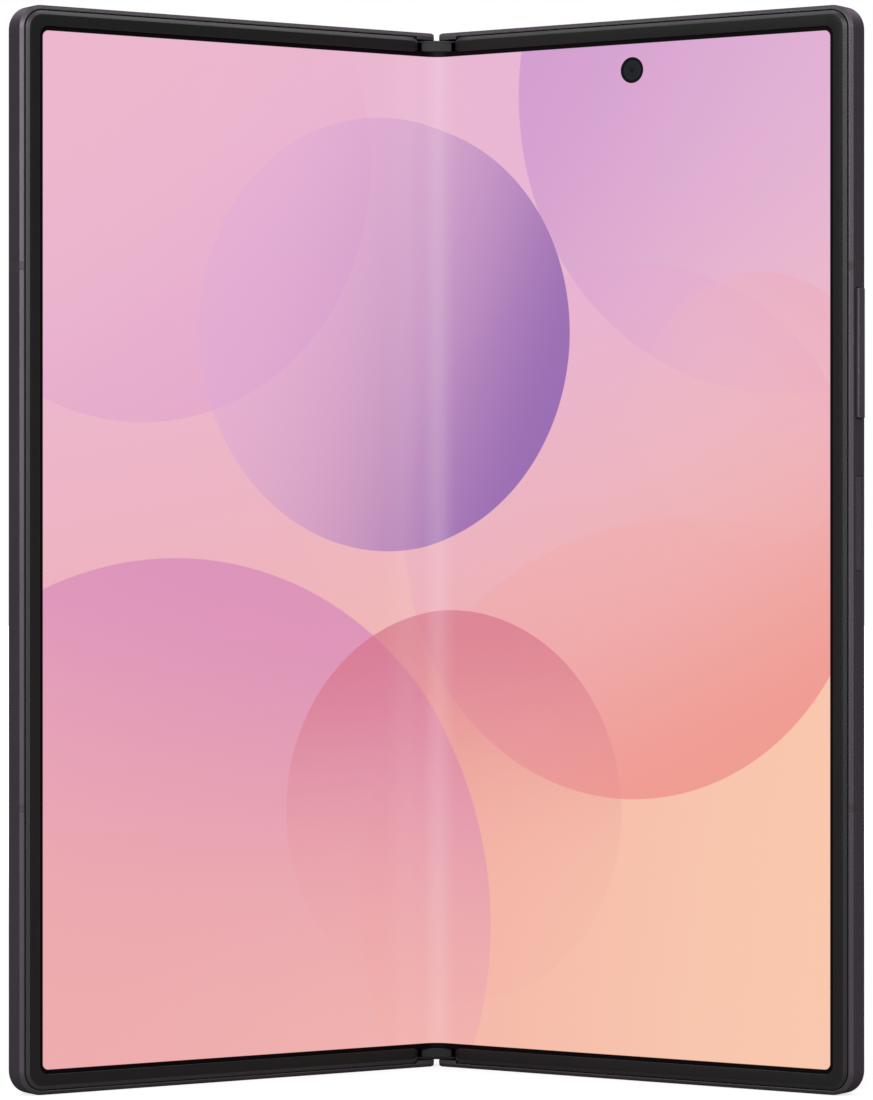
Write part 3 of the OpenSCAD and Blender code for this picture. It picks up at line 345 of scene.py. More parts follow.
def make_screen(name, side, punched):
    """One half of the soft screen as a closed skin, from the fold's centre to its outer edge."""
    patch_x = spread(PUNCH_X - PUNCH_PATCH, PUNCH_X + PUNCH_PATCH, PUNCH_SIDES)
    patch_z = spread(PUNCH_Z - PUNCH_PATCH, PUNCH_Z + PUNCH_PATCH, PUNCH_SIDES)
    corner = [DISPLAY_INSET + SCREEN_EDGE_R * (1 - math.cos(a)) for a in spread(0, math.pi / 2, 6)]
    columns = merged(spread(0, TANGENT_X, 10), spread(TANGENT_X, STRIP_X, 4), [STRIP_X + 0.2],
                     spread(5, 31, 7), patch_x, spread(40, SCREEN_FREE_X, 7),
                     spread(SCREEN_FREE_X, HALF_W - DISPLAY_INSET, 4))
    rows = merged([DISPLAY_INSET, FLEX_Z0, PHONE_H - FLEX_Z0, PHONE_H - DISPLAY_INSET],
                  corner, [PHONE_H - c for c in corner], spread(6, PUNCH_Z - PUNCH_PATCH, 22), patch_z)

    def kept(i, j):
        """Whether the skin has the cell that starts at column i and row j."""
        x, z = (columns[i] + columns[i + 1]) / 2, (rows[j] + rows[j + 1]) / 2
        if x < STRIP_X and not FLEX_Z0 < z < PHONE_H - FLEX_Z0:
            return False
        return not (punched and abs(x - PUNCH_X) < PUNCH_PATCH and abs(z - PUNCH_Z) < PUNCH_PATCH)

    def flat(i, j):
        """A crossing's place when flat, drawn in where the corners are round."""
        x, z = columns[i], rows[j]
        if x > SCREEN_FREE_X:
            share = (x - SCREEN_FREE_X) / (HALF_W - DISPLAY_INSET - SCREEN_FREE_X)
            x = SCREEN_FREE_X + share * (screen_reach(z) - SCREEN_FREE_X)
        return x, z

    cells = [[(i, j), (i + 1, j), (i + 1, j + 1), (i, j + 1)]
             for i in range(len(columns) - 1) for j in range(len(rows) - 1) if kept(i, j)]
    places = {key: flat(*key) for cell in cells for key in cell}
    if punched:
        left, low = nearest(columns, patch_x[0]), nearest(rows, patch_z[0])
        right, high = left + PUNCH_SIDES, low + PUNCH_SIDES
        ring = ([(i, low) for i in range(left, right)] + [(right, j) for j in range(low, high)]
                + [(i, high) for i in range(right, left, -1)] + [(left, j) for j in range(high, low, -1)])
        for step, radius in ((1, PUNCH_R + PUNCH_LIP), (2, PUNCH_R)):
            for n, (i, j) in enumerate(ring):
                angle = math.atan2(rows[j] - PUNCH_Z, columns[i] - PUNCH_X)
                places["hole", step, n] = (PUNCH_X + radius * math.cos(angle),
                                           PUNCH_Z + radius * math.sin(angle))
        for n in range(len(ring)):
            m = (n + 1) % len(ring)
            cells.append([ring[n], ("hole", 1, n), ("hole", 1, m), ring[m]])
            cells.append([("hole", 1, n), ("hole", 2, n), ("hole", 2, m), ("hole", 1, m)])

    keys = list(places)
    number = {key: n for n, key in enumerate(keys)}
    points, marks = [], []
    for layer in (0, 1):
        for key in keys:
            x, z = places[key]
            depth = layer * (STRIP_T if x <= STRIP_X + 0.01 else DISPLAY_T)
            place = screen_point(x, z, depth)
            points.append((side * place.x, place.y, place.z))
            marks.append((side * x, z, -depth))
    faces, edges = [], {}
    for cell in cells:
        loop = [number[key] for key in cell]
        faces.append(loop)
        faces.append([len(keys) + n for n in reversed(loop)])
        for a, b in zip(loop, loop[1:] + loop[:1]):
            edge = (min(a, b), max(a, b))
            edges[edge] = edges.get(edge, 0) + 1
    faces += [[a, b, len(keys) + b, len(keys) + a] for (a, b), uses in edges.items() if uses == 1]
    piece = mesh_piece(name, points, faces)
    attribute = piece.data.attributes.new("flat", "FLOAT_VECTOR", "POINT")
    for item, mark in zip(attribute.data, marks):
        item.vector = mark
    return shade_smooth(piece, 40)


# ---- the raised bezels ----

# Distances in from a half's outer edge, and the bezel's rise over the screen's face
BEZEL_D0 = 0.8
BEZEL_D1 = 3.05
BEZEL_RISE = 0.25
BEZEL_FOOT_D = 1.3
BEZEL_FOOT_Y = -0.005
BEZEL_ROUND = 0.10
PLATE_Y = 0.7
BEZEL_END_X = 3.7
BEZEL_CORNER = 0.42
BEZEL_CUT_L = 0.8
BEZEL_INNER_R = 1.3
BEZEL_CHAMFER = [(0, 0), (0.01, 0.06), (0.03, 0.13), (0.56, 0.90), (0.60, 0.95), (0.64, 0.98), (0.70, 1.0)]
# The chamfer's section points that carry a painted highlight, a lighter band standing in for the light it
# catches
BEZEL_HIGHLIGHT_POINTS = (3, 4)


def edge_stations(ends):
    """Points round a half's three outer edges, from its fold end at the top to its fold end at the foot.

    Each is a place on the edge, the way in from it and how far in the bezel goes there. ends are the
    distances out from the fold of the points near each end.
    """
    spare = BEZEL_INNER_R - (CORNER_R - BEZEL_D1)
    bends = spread(0, spare, 3)

    def along_edge(past):
        """How far in the bezel goes at a distance past the centre of its inner corner."""
        return BEZEL_D1 + BEZEL_INNER_R - math.sqrt(BEZEL_INNER_R ** 2 - max(past, 0) ** 2)

    def round_corner(c, s):
        """How far in the bezel goes towards (c, s) from the centre of the half's corner."""
        lean = spare * (abs(c) + abs(s))
        return CORNER_R + lean - math.sqrt(lean ** 2 + BEZEL_INNER_R ** 2 - 2 * spare ** 2)

    centre_x = HALF_W - CORNER_R
    start_x = centre_x - spare
    run = ends + spread(6, start_x, 8)[:-1] + [start_x + past for past in bends]
    top = [((x, PHONE_H), (0, -1), along_edge(x - start_x)) for x in run]
    foot = [((x, 0), (0, 1), along_edge(x - start_x)) for x in reversed(run)]
    low, high = CORNER_R + spare, PHONE_H - CORNER_R - spare
    side = ([((HALF_W, high + past), (-1, 0), along_edge(past)) for past in reversed(bends)]
            + [((HALF_W, z), (-1, 0), BEZEL_D1) for z in spread(high, low, 12)[1:-1]]
            + [((HALF_W, low - past), (-1, 0), along_edge(past)) for past in bends])
    corners = []
    for centre_z, start in ((PHONE_H - CORNER_R, 90), (CORNER_R, 0)):
        corners.append([])
        for a in spread(start, start - 90, 12)[1:-1]:
            c, s = math.cos(math.radians(a)), math.sin(math.radians(a))
            place = (centre_x + CORNER_R * c, centre_z + CORNER_R * s)
            corners[-1].append((place, (-c, -s), round_corner(c, s)))
    return top + corners[0] + side + corners[1] + foot


def bezel_profile(reach, cut, height):
    """The bezel's section as (distance in from the edge, depth): chamfered outside and rounded inside.

    It goes reach in from the edge, cut narrows it from both sides, and height is the share of its rise.
    """
    outer, inner = BEZEL_D0 + BEZEL_CORNER * cut, reach - BEZEL_CORNER * cut
    rise = BEZEL_RISE * height
    section = [(BEZEL_D0, PLATE_Y)]
    section += [(outer + along, -rise * up) for along, up in BEZEL_CHAMFER]
    for a in spread(0, math.pi / 2, 4):
        section.append((inner - BEZEL_ROUND * (1 - math.sin(a)),
                        -rise + BEZEL_ROUND * height * (1 - math.cos(a))))
    return section + [(inner - 0.01, BEZEL_FOOT_Y), (BEZEL_FOOT_D, BEZEL_FOOT_Y), (BEZEL_FOOT_D, PLATE_Y)]


def make_bezel(name, matrix, highlight_strength):
    """One half's raised bezel, swept round its three edges, with both corners of its ends cut off.

    The last argument is how strongly a painted highlight lightens its chamfer, from 0 to 1.
    """
    ends = {BEZEL_END_X + along: (1 - along / BEZEL_CUT_L, height) for along, height in
            ((0.02, 0.5), (0.08, 0.86), (0.18, 1.0), (BEZEL_CUT_L, 1.0))}
    stations = edge_stations(list(ends))
    points = []
    for (x, z), (ix, iz), reach in stations:
        cut, height = ends.get(x, (0, 1))
        points += [(x + ix * d, y, z + iz * d) for d, y in bezel_profile(reach, cut, height)]
    count = len(points) // len(stations)
    faces = [list(range(count)), list(range(len(points) - count, len(points)))]
    for k in range(len(stations) - 1):
        for n in range(count):
            m = (n + 1) % count
            faces.append([k * count + n, k * count + m, (k + 1) * count + m, (k + 1) * count + n])
    piece = mesh_piece(name, points, faces, matrix)
    # Painted highlight: the chamfer's points are marked for the finish to lighten them
    rubbed = piece.data.attributes.new("rubbed", "FLOAT", "POINT")
    for n, item in enumerate(rubbed.data):
        item.value = highlight_strength * (n % count in BEZEL_HIGHLIGHT_POINTS)
    return shade_smooth(piece, 30)


# ---- the cables across the hinge ----

CABLE_DEPTH = 2.3
CABLE_END_X = 5.1
CABLE_END_Y = 1.35
CABLE_T = 0.15
CABLE_W = 7.0
CABLE_Z = (PHONE_H / 2 - 14.0, PHONE_H / 2 + 14.0)
SPINE_PULL = 1.6
HALF_PULL = 2.2


def cable_line():
    """The middle line of a cable's right half, curving from the spine into the half, in millimetres."""
    start = Vector((0, CABLE_DEPTH, 0))
    leave = start + Vector((SPINE_PULL, 0, 0))
    arrive = HALF_TURN @ Vector((CABLE_END_X - HALF_PULL, CABLE_END_Y, 0))
    end = HALF_TURN @ Vector((CABLE_END_X, CABLE_END_Y, 0))
    return [start * (1 - t) ** 3 + leave * 3 * t * (1 - t) ** 2 + arrive * 3 * t * t * (1 - t) + end * t ** 3
            for t in spread(0, 1, 20)]


def make_cable(name, side, z):
    """One half of a flat cable, centred on height z."""
    line = cable_line()
    points, faces = [], []
    for n, place in enumerate(line):
        run = line[min(n + 1, len(line) - 1)] - line[max(n - 1, 0)]
        across = Vector((-run.y, run.x, 0)).normalized() * CABLE_T / 2
        for offset, height in ((1, -1), (1, 1), (-1, 1), (-1, -1)):
            corner = place + across * offset
            points.append(SPINE @ Vector((side * corner.x, corner.y, z + height * CABLE_W / 2)))
    for n in range(len(line) - 1):
        for k in range(4):
            m = (k + 1) % 4
            faces.append([4 * n + k, 4 * n + m, 4 * n + 4 + m, 4 * n + 4 + k])
    faces += [[0, 1, 2, 3], [len(points) - 4 + k for k in (3, 2, 1, 0)]]
    return shade_smooth(mesh_piece(name, points, faces), 40)


# ---- finishes: the screen ----

SIDE_BORDER = 3.6
END_BORDER = 3.7
ACTIVE_CORNER_R = 0.9
SCREEN_GLOW = 0.97

# Each petal: its centre and radius, the colours of its tail and head, how strong each is, and the way
# its shade runs, in degrees
PETALS = [
    (61, 148, 46, srgb(214, 158, 208), srgb(196, 140, 206), 0.10, 0.62, 150),
    (-52, 138, 40, srgb(240, 190, 208), srgb(224, 158, 206), 0.0, 0.50, -60),
    (44, 26, 58, srgb(252, 205, 182), srgb(246, 178, 162), 0.15, 0.62, 160),
    (-46, 22, 56, srgb(244, 182, 176), srgb(218, 138, 186), 0.18, 0.80, 72),
    (34, 82, 40, srgb(226, 164, 214), srgb(240, 150, 142), 0.25, 0.90, -62),
    (-9, 112, 33, srgb(224, 172, 216), srgb(150, 104, 178), 0.50, 0.97, -22),
    (3, 40, 30, srgb(242, 164, 156), srgb(214, 112, 136), 0.10, 0.72, 96),
    (56, 100, 20, srgb(250, 196, 190), srgb(238, 170, 190), 0.05, 0.55, 40),
]


def lit_picture(finish, across, up):
    """Overlapping clear petals over a pink to peach wash, by the distance from the fold and the foot,
    lightened by a painted highlight along the crease and a fainter one beside it.
    """
    u = (across / (HALF_W - SIDE_BORDER) + 1.0) * 0.5
    w = up / PHONE_H
    low = finish.mix(srgb(240, 172, 172), srgb(250, 200, 172), u.smooth())
    high = finish.mix(srgb(238, 184, 206), srgb(231, 182, 214), u.smooth())
    picture = finish.mix(low, high, ((w + u * -0.22 - 0.12) / 0.62).smooth())
    for petal in PETALS:
        picture = lay_petal(finish, picture, across, up, *petal)
    # Painted highlights: the fold's crease, and a faint band just left of it, are mixed towards white
    crease_highlight = (1.0 - ((across - 0.2).abs() / 4.0)).smooth() * 0.11
    side_highlight = (1.0 - ((across + 5.5).abs() / 4.5)).smooth() * 0.04
    return finish.mix(picture, srgb(255, 244, 250), crease_highlight + side_highlight)


def lay_petal(finish, under, across, up, x, z, radius, tail, head, faint, strong, turn):
    """One round petal over what is under it, its shade running from tail to head."""
    dx, dz = across - x, up - z
    away = (dx * dx + dz * dz).root()
    inside = ((radius - away) / 0.12 + 0.5).clamp()
    run = (dx * math.cos(math.radians(turn)) + dz * math.sin(math.radians(turn))) / radius
    shade = (run * 0.5 + 0.5).smooth()
    share = (shade * shade * (strong - faint) + faint) * inside
    return finish.mix(under, finish.mix(tail, head, shade), share)


def lit_screen():
    """The lit screen: the picture inside a thin black edge, under soft clear film."""
    finish = Finish("screen_film", Roughness=0.42, IOR=1.45, Specular_IOR_Level=0.08)
    flat = finish.add("ShaderNodeAttribute", {"attribute_name": "flat"}, out=1)
    across, up, depth = finish.split(flat)
    dx = (across.abs() - (HALF_W - SIDE_BORDER - ACTIVE_CORNER_R)).at_least(0.0)
    dz = ((up - PHONE_H / 2).abs() - (PHONE_H / 2 - END_BORDER - ACTIVE_CORNER_R)).at_least(0.0)
    lit = ((ACTIVE_CORNER_R - (dx * dx + dz * dz).root()) / 0.06 + 0.5).clamp()
    hx, hz = across - PUNCH_X, up - PUNCH_Z
    lit = lit * (((hx * hx + hz * hz).root() - (PUNCH_R + 0.04)) / 0.06 + 0.5).clamp()
    lit = lit * ((depth + 0.05) / 0.04).clamp()
    picture = lit_picture(finish, across, up)
    wave = finish.noise(flat, 0.09, 1.0)
    finish.bump(wave, 0.25, 0.25)
    return finish.set(
        Base_Color=finish.mix((0.0015, 0.0006, 0.0010), (0.012, 0.010, 0.012), lit),
        Emission_Color=finish.mix((0.0, 0.0, 0.0), picture, lit),
        Emission_Strength=SCREEN_GLOW)


# ---- finishes: metals ----

def anodised(name, colour, rough=0.4, metallic=0.85, edge=0.12):
    """Blasted and dyed aluminium: a very fine tooth, faint upright streaks, and softened edges."""
    finish = Finish(name, Specular_Tint=(0.34, 0.30, 0.34), Specular_IOR_Level=0.35)
    place = finish.place()
    streaks = finish.noise(finish.vector("MULTIPLY", place, (1, 1, 0.02)), 2.2, 3.0)
    cloud = finish.noise(place, 0.05, 2.0)
    tooth = finish.noise(place, 9.0, 2.0, 0.7)
    tone = (streaks - 0.5) * 0.10 + (cloud - 0.5) * 0.16 + 1.0
    finish.set(
        Base_Color=finish.vector("SCALE", colour, Scale=tone),
        Roughness=(tooth - 0.5) * 0.10 + (streaks - 0.5) * 0.05 + rough,
        Metallic=metallic)
    return finish.bump(tooth, 0.004, 0.6, finish.soft_edges(edge))


def steel(name, colour, rough=0.28):
    """Ground steel or brass with fine upright scratches."""
    finish = Finish(name, Metallic=1.0)
    place = finish.place()
    scratches = finish.noise(finish.vector("MULTIPLY", place, (1, 1, 0.03)), 14.0, 4.0, 0.65)
    cloud = finish.noise(place, 0.2, 2.0)
    tone = (cloud - 0.5) * 0.12 + (scratches - 0.5) * 0.14 + 1.0
    finish.set(
        Base_Color=finish.vector("SCALE", colour, Scale=tone),
        Roughness=(scratches - 0.5) * 0.22 + rough)
    return finish.bump(scratches, 0.003, 0.6, finish.soft_edges(0.05))


# ---- finishes: plastics and rubber ----

def moulded(name, colour, rough=0.5, edge=0.1, sheen=0.5, rubbed=None):
    """Fine spark-eroded moulded plastic, with a lighter colour painted on as a highlight where its mesh
    marks one.
    """
    finish = Finish(name, IOR=1.49, Specular_IOR_Level=sheen)
    place = finish.place()
    if rubbed is not None:
        colour = finish.mix(colour, rubbed, finish.mark("rubbed"))
    tooth = finish.noise(place, 6.0, 3.0, 0.6)
    cloud = finish.noise(place, 0.12, 2.0)
    finish.set(
        Base_Color=finish.vector("SCALE", colour, Scale=(cloud - 0.5) * 0.2 + (tooth - 0.5) * 0.12 + 1.0),
        Roughness=(tooth - 0.5) * 0.16 + rough)
    return finish.bump(tooth, 0.006, 0.7, finish.soft_edges(edge))


def gloss_black(name, colour=(0.004, 0.004, 0.005), rough=0.06):
    """Polished black glass or lacquer, with the slow waviness of a pressed sheet."""
    finish = Finish(name, Roughness=rough, IOR=1.5, Coat_Weight=0.4, Coat_Roughness=0.03)
    place = finish.place()
    wave = finish.noise(place, 0.06, 1.0)
    dust = finish.noise(place, 1.3, 4.0, 0.7)
    finish.set(
        Base_Color=finish.vector("SCALE", colour, Scale=(wave - 0.5) * 0.3 + 1.0),
        Roughness=((dust - 0.6) * 0.5).clamp() + rough)
    return finish.bump(wave, 0.12, 0.2, finish.soft_edges(0.12))


# ---- finishes: glass and lenses ----

def satin_glass(name, colour):
    """Etched back glass: satin, with a fine mineral sparkle under a thin clear skin."""
    finish = Finish(name, IOR=1.5, Specular_IOR_Level=0.4, Coat_Weight=0.1, Coat_Roughness=0.2)
    place = finish.place()
    grit = finish.noise(place, 12.0, 2.0, 0.7)
    drift = finish.noise(place, 0.03, 2.0)
    sparkle = ((grit - 0.66) * 8.0).clamp()
    finish.set(
        Base_Color=finish.mix(finish.vector("SCALE", colour, Scale=(drift - 0.5) * 0.25 + 1.0),
                              srgb(150, 138, 150), sparkle * 0.30),
        Roughness=(grit - 0.5) * 0.14 + 0.40,
        Metallic=sparkle * 0.4 + 0.25)
    return finish.bump(grit, 0.003, 0.5, finish.soft_edges(0.22))


def radius_from(finish, centre, normal):
    """How far the shaded point is from the line through centre along normal, in millimetres."""
    off = finish.vector("SUBTRACT", finish.place(), centre)
    along = finish.vector("DOT_PRODUCT", off, normal, out=1)
    flat = finish.vector("SUBTRACT", off, finish.vector("SCALE", normal, Scale=along))
    return finish.vector("LENGTH", flat, out=1)


# A lens seen from its front, as the share of its radius and the colour there: black and grey rings, with the
# coating's reflections and small glints painted in as lighter, bluer rings
REAR_LENS = [(0.00, (14, 14, 30)), (0.12, (6, 6, 14)), (0.17, (2, 2, 4)), (0.195, (74, 62, 128)),
             (0.26, (30, 44, 84)), (0.34, (14, 20, 36)), (0.41, (4, 4, 6)), (0.55, (6, 6, 7)),
             (0.575, (44, 44, 48)), (0.61, (9, 9, 10)), (0.64, (5, 5, 6)), (0.97, (6, 6, 7)),
             (1.00, (24, 24, 26))]
# The inner camera's rings, with a painted glint at the middle and a painted violet reflection just outside
# it
INNER_LENS = [(0.00, (26, 26, 30)), (0.10, (8, 8, 12)), (0.20, (10, 10, 14)), (0.25, (30, 28, 40)),
              (0.32, (22, 23, 26)), (0.74, (26, 28, 29)), (0.80, (3, 2, 4)), (1.00, (3, 2, 4))]


def lens_rings(finish, share, bands):
    """The colours of a lens at a share of its radius."""
    stops = [(at, srgb(*colour)) for at, colour in bands]
    return finish.add("ShaderNodeValToRGB", {"stops": stops}, share)


def lens_face(name, centre, normal, radius, bands):
    """Glass around a black iris, in rings about the given point, with its coating's reflections and glints
    painted into the rings.
    """
    finish = Finish(name, IOR=1.5, Specular_IOR_Level=0.28)
    share = radius_from(finish, centre, normal) / radius
    return finish.set(Base_Color=lens_rings(finish, share, bands),
                      Roughness=((share - 0.5) * 4.0).clamp() * 0.08 + 0.05)


def flash_window(name, centre, normal, radius):
    """A flash behind a pale lens pressed with fine rings, with its warm chip at the middle."""
    finish = Finish(name, IOR=1.5, Coat_Weight=0.6)
    share = radius_from(finish, centre, normal) / radius
    rings = (share * 30.0).sine() * 0.5 + 0.5
    chip = ((0.42 - share) * 12.0).clamp()
    base = finish.mix(srgb(214, 210, 198), srgb(236, 206, 112), chip)
    finish.set(Base_Color=finish.mix(base, srgb(150, 146, 138), rings * 0.4),
               Roughness=rings * 0.2 + 0.12)
    return finish.bump(rings, 0.05, 0.7)


COVER_MIDDLE_X = HALF_W / 2 + 0.8
COVER_SIDE_BORDER = 5.6
COVER_END_BORDER = 4.6
COVER_PANEL_R = 2.2
COVER_HOLE_R = 1.9
COVER_HOLE_X = 35.8
COVER_HOLE_Z = PHONE_H - 8.0


def cover_glass_finish(name, centre, normal):
    """The outer screen, switched off: black glass over a faintly bluer panel and a small camera."""
    finish = Finish(name, IOR=1.5, Specular_IOR_Level=0.38)
    place = finish.place()
    from_hole = radius_from(finish, centre, normal)
    middle = LEFT @ Vector((COVER_MIDDLE_X, HALF_T, PHONE_H / 2)) / MM
    off = finish.vector("SUBTRACT", place, middle)
    across = finish.vector("DOT_PRODUCT", off, LEFT.to_3x3() @ Vector((1, 0, 0)) / MM, out=1)
    _, _, up = finish.split(off)
    dx = (across.abs() - (HALF_W / 2 - COVER_SIDE_BORDER)).at_least(0.0)
    dz = (up.abs() - (PHONE_H / 2 - COVER_END_BORDER)).at_least(0.0)
    panel = ((COVER_PANEL_R - (dx * dx + dz * dz).root()) / 0.1 + 0.5).clamp()
    clear = ((from_hole - COVER_HOLE_R) / 0.06 + 0.5).clamp()
    base = finish.mix((0.0030, 0.0030, 0.0033), (0.0052, 0.0054, 0.0066), panel * clear)
    # The camera under the glass takes the inner lens rings, their painted glint and reflection included
    rings = lens_rings(finish, from_hole / COVER_HOLE_R, INNER_LENS)
    smear = finish.noise(place, 0.10, 3.0, 0.6)
    finish.set(Base_Color=finish.mix(rings, base, clear), Roughness=((smear - 0.5) * 0.2).clamp() + 0.05)
    return finish.bump(finish.noise(place, 0.05, 1.0), 0.10, 0.2, finish.soft_edges(0.15))


# ---- finishes: what the phone holds inside ----

def middle_of(node):
    """The middle of a node's box, in millimetres."""
    low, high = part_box(node)
    return (low + high) / 2 / MM


def circuit(name, mask=(10, 30, 26)):
    """A populated board: dark solder mask, copper tracks, and rows of parts with tinned ends."""
    finish = Finish(name, IOR=1.5)
    place = finish.place()
    x, _, z = finish.split(place)
    run = finish.add("ShaderNodeCombineXYZ", {}, x, z, 0.0)
    tracks = finish.add("ShaderNodeTexWave", {"wave_type": "BANDS", "bands_direction": "DIAGONAL"},
                        Vector=run, Scale=0.7, Distortion=6.0, Detail=1.0, Detail_Scale=0.4, out=1)
    copper = ((tracks - 0.82) * 9.0).clamp()
    away, kind = (finish.add("ShaderNodeTexVoronoi", {"distance": "CHEBYCHEV", "feature": "F1"},
                             Vector=run, Scale=0.42, Randomness=0.55, out=out) for out in (0, 1))
    chips = ((0.50 - away) * 14.0).clamp()
    tinned = ((finish.split(kind)[0] - 0.72) * 12.0).clamp() * chips
    base = finish.mix(srgb(*mask), srgb(126, 92, 46), copper * 0.7)
    base = finish.mix(base, srgb(24, 24, 27), chips)
    base = finish.mix(base, srgb(176, 178, 182), tinned)
    finish.set(Base_Color=base, Metallic=tinned.at_least(copper * 0.6),
               Roughness=0.5 - copper * 0.18 - tinned * 0.2)
    return finish.bump(chips + copper * 0.12, 0.25, 0.7, finish.soft_edges(0.05))


def pouch(name, colour):
    """A battery's dark aluminium laminate pouch, with a soft quilted swell."""
    finish = Finish(name, Metallic=0.35)
    place = finish.place()
    crinkle = finish.noise(place, 0.5, 3.0, 0.6)
    weave = finish.noise(place, 7.0, 2.0)
    finish.set(
        Base_Color=finish.vector("SCALE", colour, Scale=(crinkle - 0.5) * 0.5 + 1.0),
        Roughness=(weave - 0.5) * 0.2 + 0.42)
    return finish.bump(crinkle, 0.10, 0.6, finish.soft_edges(0.3))


def ribbon_film(name):
    """Dark cover film over copper tracks that run across the hinge."""
    finish = Finish(name, IOR=1.6, Coat_Weight=0.5, Coat_Roughness=0.12)
    _, _, z = finish.split(finish.place())
    track = (((z * 7.0).sine() - 0.1) * 3.0).clamp()
    base = finish.mix(srgb(26, 20, 18), srgb(48, 36, 28), track)
    finish.set(Base_Color=base, Roughness=0.34 - track * 0.1, Metallic=track * 0.4)
    return finish.bump(track, 0.03, 0.5)


def winding(name):
    """A flat coil of enamelled copper, its turns showing as fine rings."""
    finish = Finish(name, Metallic=0.9)
    off = finish.vector("SUBTRACT", finish.place(), middle_of("wireless_coil"))
    r = finish.vector("LENGTH", off, out=1)
    turn = (r * (2 * math.pi / 0.62)).sine() * 0.5 + 0.5
    finish.set(Base_Color=finish.mix(srgb(96, 48, 26), srgb(206, 124, 80), turn),
               Roughness=0.44 - turn * 0.2)
    return finish.bump(turn, 0.08, 0.9)


def contacts(name):
    """A plug's tongue: black resin with gilt contact strips side by side."""
    finish = Finish(name, IOR=1.5)
    off = finish.vector("SUBTRACT", finish.place(), middle_of("usb_tongue"))
    across = finish.vector("DOT_PRODUCT", off, (math.cos(FOLD), -math.sin(FOLD), 0), out=1)
    wave = (across * (2 * math.pi / 0.5)).sine()
    strip = (wave * 5.0 + 0.5).clamp() * ((2.95 - across.abs()) * 12.0).clamp()
    finish.set(Base_Color=finish.mix(srgb(22, 22, 24), srgb(214, 170, 92), strip),
               Metallic=strip, Roughness=0.5 - strip * 0.24)
    return finish.bump(strip, 0.03, 0.5, finish.soft_edges(0.04))


# ---- the pieces ----

nodes = frame["nodes"]

screen = lit_screen()
left_screen = dress(make_screen("open_screen_left", -1, False), screen)
right_screen = dress(make_screen("open_screen_right", 1, True), screen)
fold_middle = SPINE @ Vector((0, BEND_Y + BEND_R, PHONE_H / 2))
fold_end = RIGHT @ Vector((STRIP_X, 0, PHONE_H / 2))
for piece, body, side in ((left_screen, "left_half", -1), (right_screen, "right_half", 1)):
    side * fold_end.x
    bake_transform(piece)
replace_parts(left_screen, "main_display_left", "main_display_fold")
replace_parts(right_screen, "main_display_right")

cable_film = ribbon_film("hinge_ribbon_film")
for level, z in zip(("lower", "upper"), CABLE_Z):
    for side, body in ((-1, "left_half"), (1, "right_half")):
        cable = dress(make_cable(f"hinge_cable_{level}_{body.removesuffix('_half')}", side, z), cable_film)
        first, last = SPINE @ cable_line()[0], SPINE @ cable_line()[-1]
        side * last.x
        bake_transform(cable)
        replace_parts(cable, f"flex_cable_{level}")

# The painted highlight on the bezel's chamfer is full on the left bezel and weaker on the right
left_bezel = make_bezel("raised_bezel_left", LEFT, 1.0)
right_bezel = make_bezel("raised_bezel_right", RIGHT, 0.4)
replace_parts(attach(left_bezel, "left_half"), "left_bezel")
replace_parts(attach(right_bezel, "right_half"), "right_bezel")


# ---- every node's finish ----

frame_metal = anodised("plum_black_aluminium", srgb(85, 80, 86), rough=0.41)
# Painted shade: the spine is the frame's aluminium, coloured far darker for the shade its lip sits in at the
# top
spine_metal_painted_shade = anodised("spine_aluminium_painted_shade", srgb(43, 41, 44), rough=0.34)
key_metal = anodised("key_aluminium", srgb(100, 94, 100), rough=0.36, edge=0.2)
cap_plastic = moulded("hinge_cap_resin", srgb(22, 22, 24), 0.5, edge=0.2, sheen=0.25)
# Black bezel rubber, with a lighter grey painted along its chamfer as a highlight
bezel_plastic = moulded("bezel_rubber", srgb(9, 8, 9), 0.36, edge=0.05, sheen=0.35, rubbed=srgb(43, 42, 44))
band_plastic = anodised("antenna_break_lacquer", srgb(74, 69, 72), rough=0.46, metallic=0.7)
for piece in (left_bezel, right_bezel):
    dress(piece, bezel_plastic)
panel_black = gloss_black("cover_panel", (0.002, 0.002, 0.003), 0.12)
rear_glass = satin_glass("plum_satin_glass", srgb(66, 57, 64))
island_metal = anodised("island_aluminium", srgb(76, 69, 75), rough=0.32, edge=0.3)
ring_metal = anodised("lens_ring_aluminium", srgb(104, 98, 103), rough=0.22, metallic=0.95, edge=0.12)
hinge_steel = steel("hinge_steel", srgb(158, 158, 162))
shaft_steel = steel("ground_shaft_steel", srgb(184, 184, 188), rough=0.18)
gear_brass = steel("gear_brass", srgb(204, 164, 96), rough=0.26)
plate_steel = steel("rolled_plate_steel", srgb(150, 152, 156), rough=0.36)
magnet_nickel = steel("nickel_plated_magnet", srgb(176, 172, 164), rough=0.2)
screw_steel = steel("black_screw_steel", srgb(92, 92, 96), rough=0.3)
battery_wrap = pouch("battery_pouch", srgb(52, 54, 60))
board = circuit("circuit_board")
side_board = circuit("small_circuit_board", (14, 24, 40))
shield_tin = steel("tinned_shield", srgb(168, 170, 172), rough=0.34)
speaker_box = moulded("speaker_box_resin", srgb(30, 30, 33), 0.5, edge=0.3)
camera_black = moulded("camera_barrel_black", srgb(18, 18, 20), 0.4, edge=0.12)
card_plastic = moulded("card_resin", srgb(226, 224, 218), 0.45, edge=0.1)

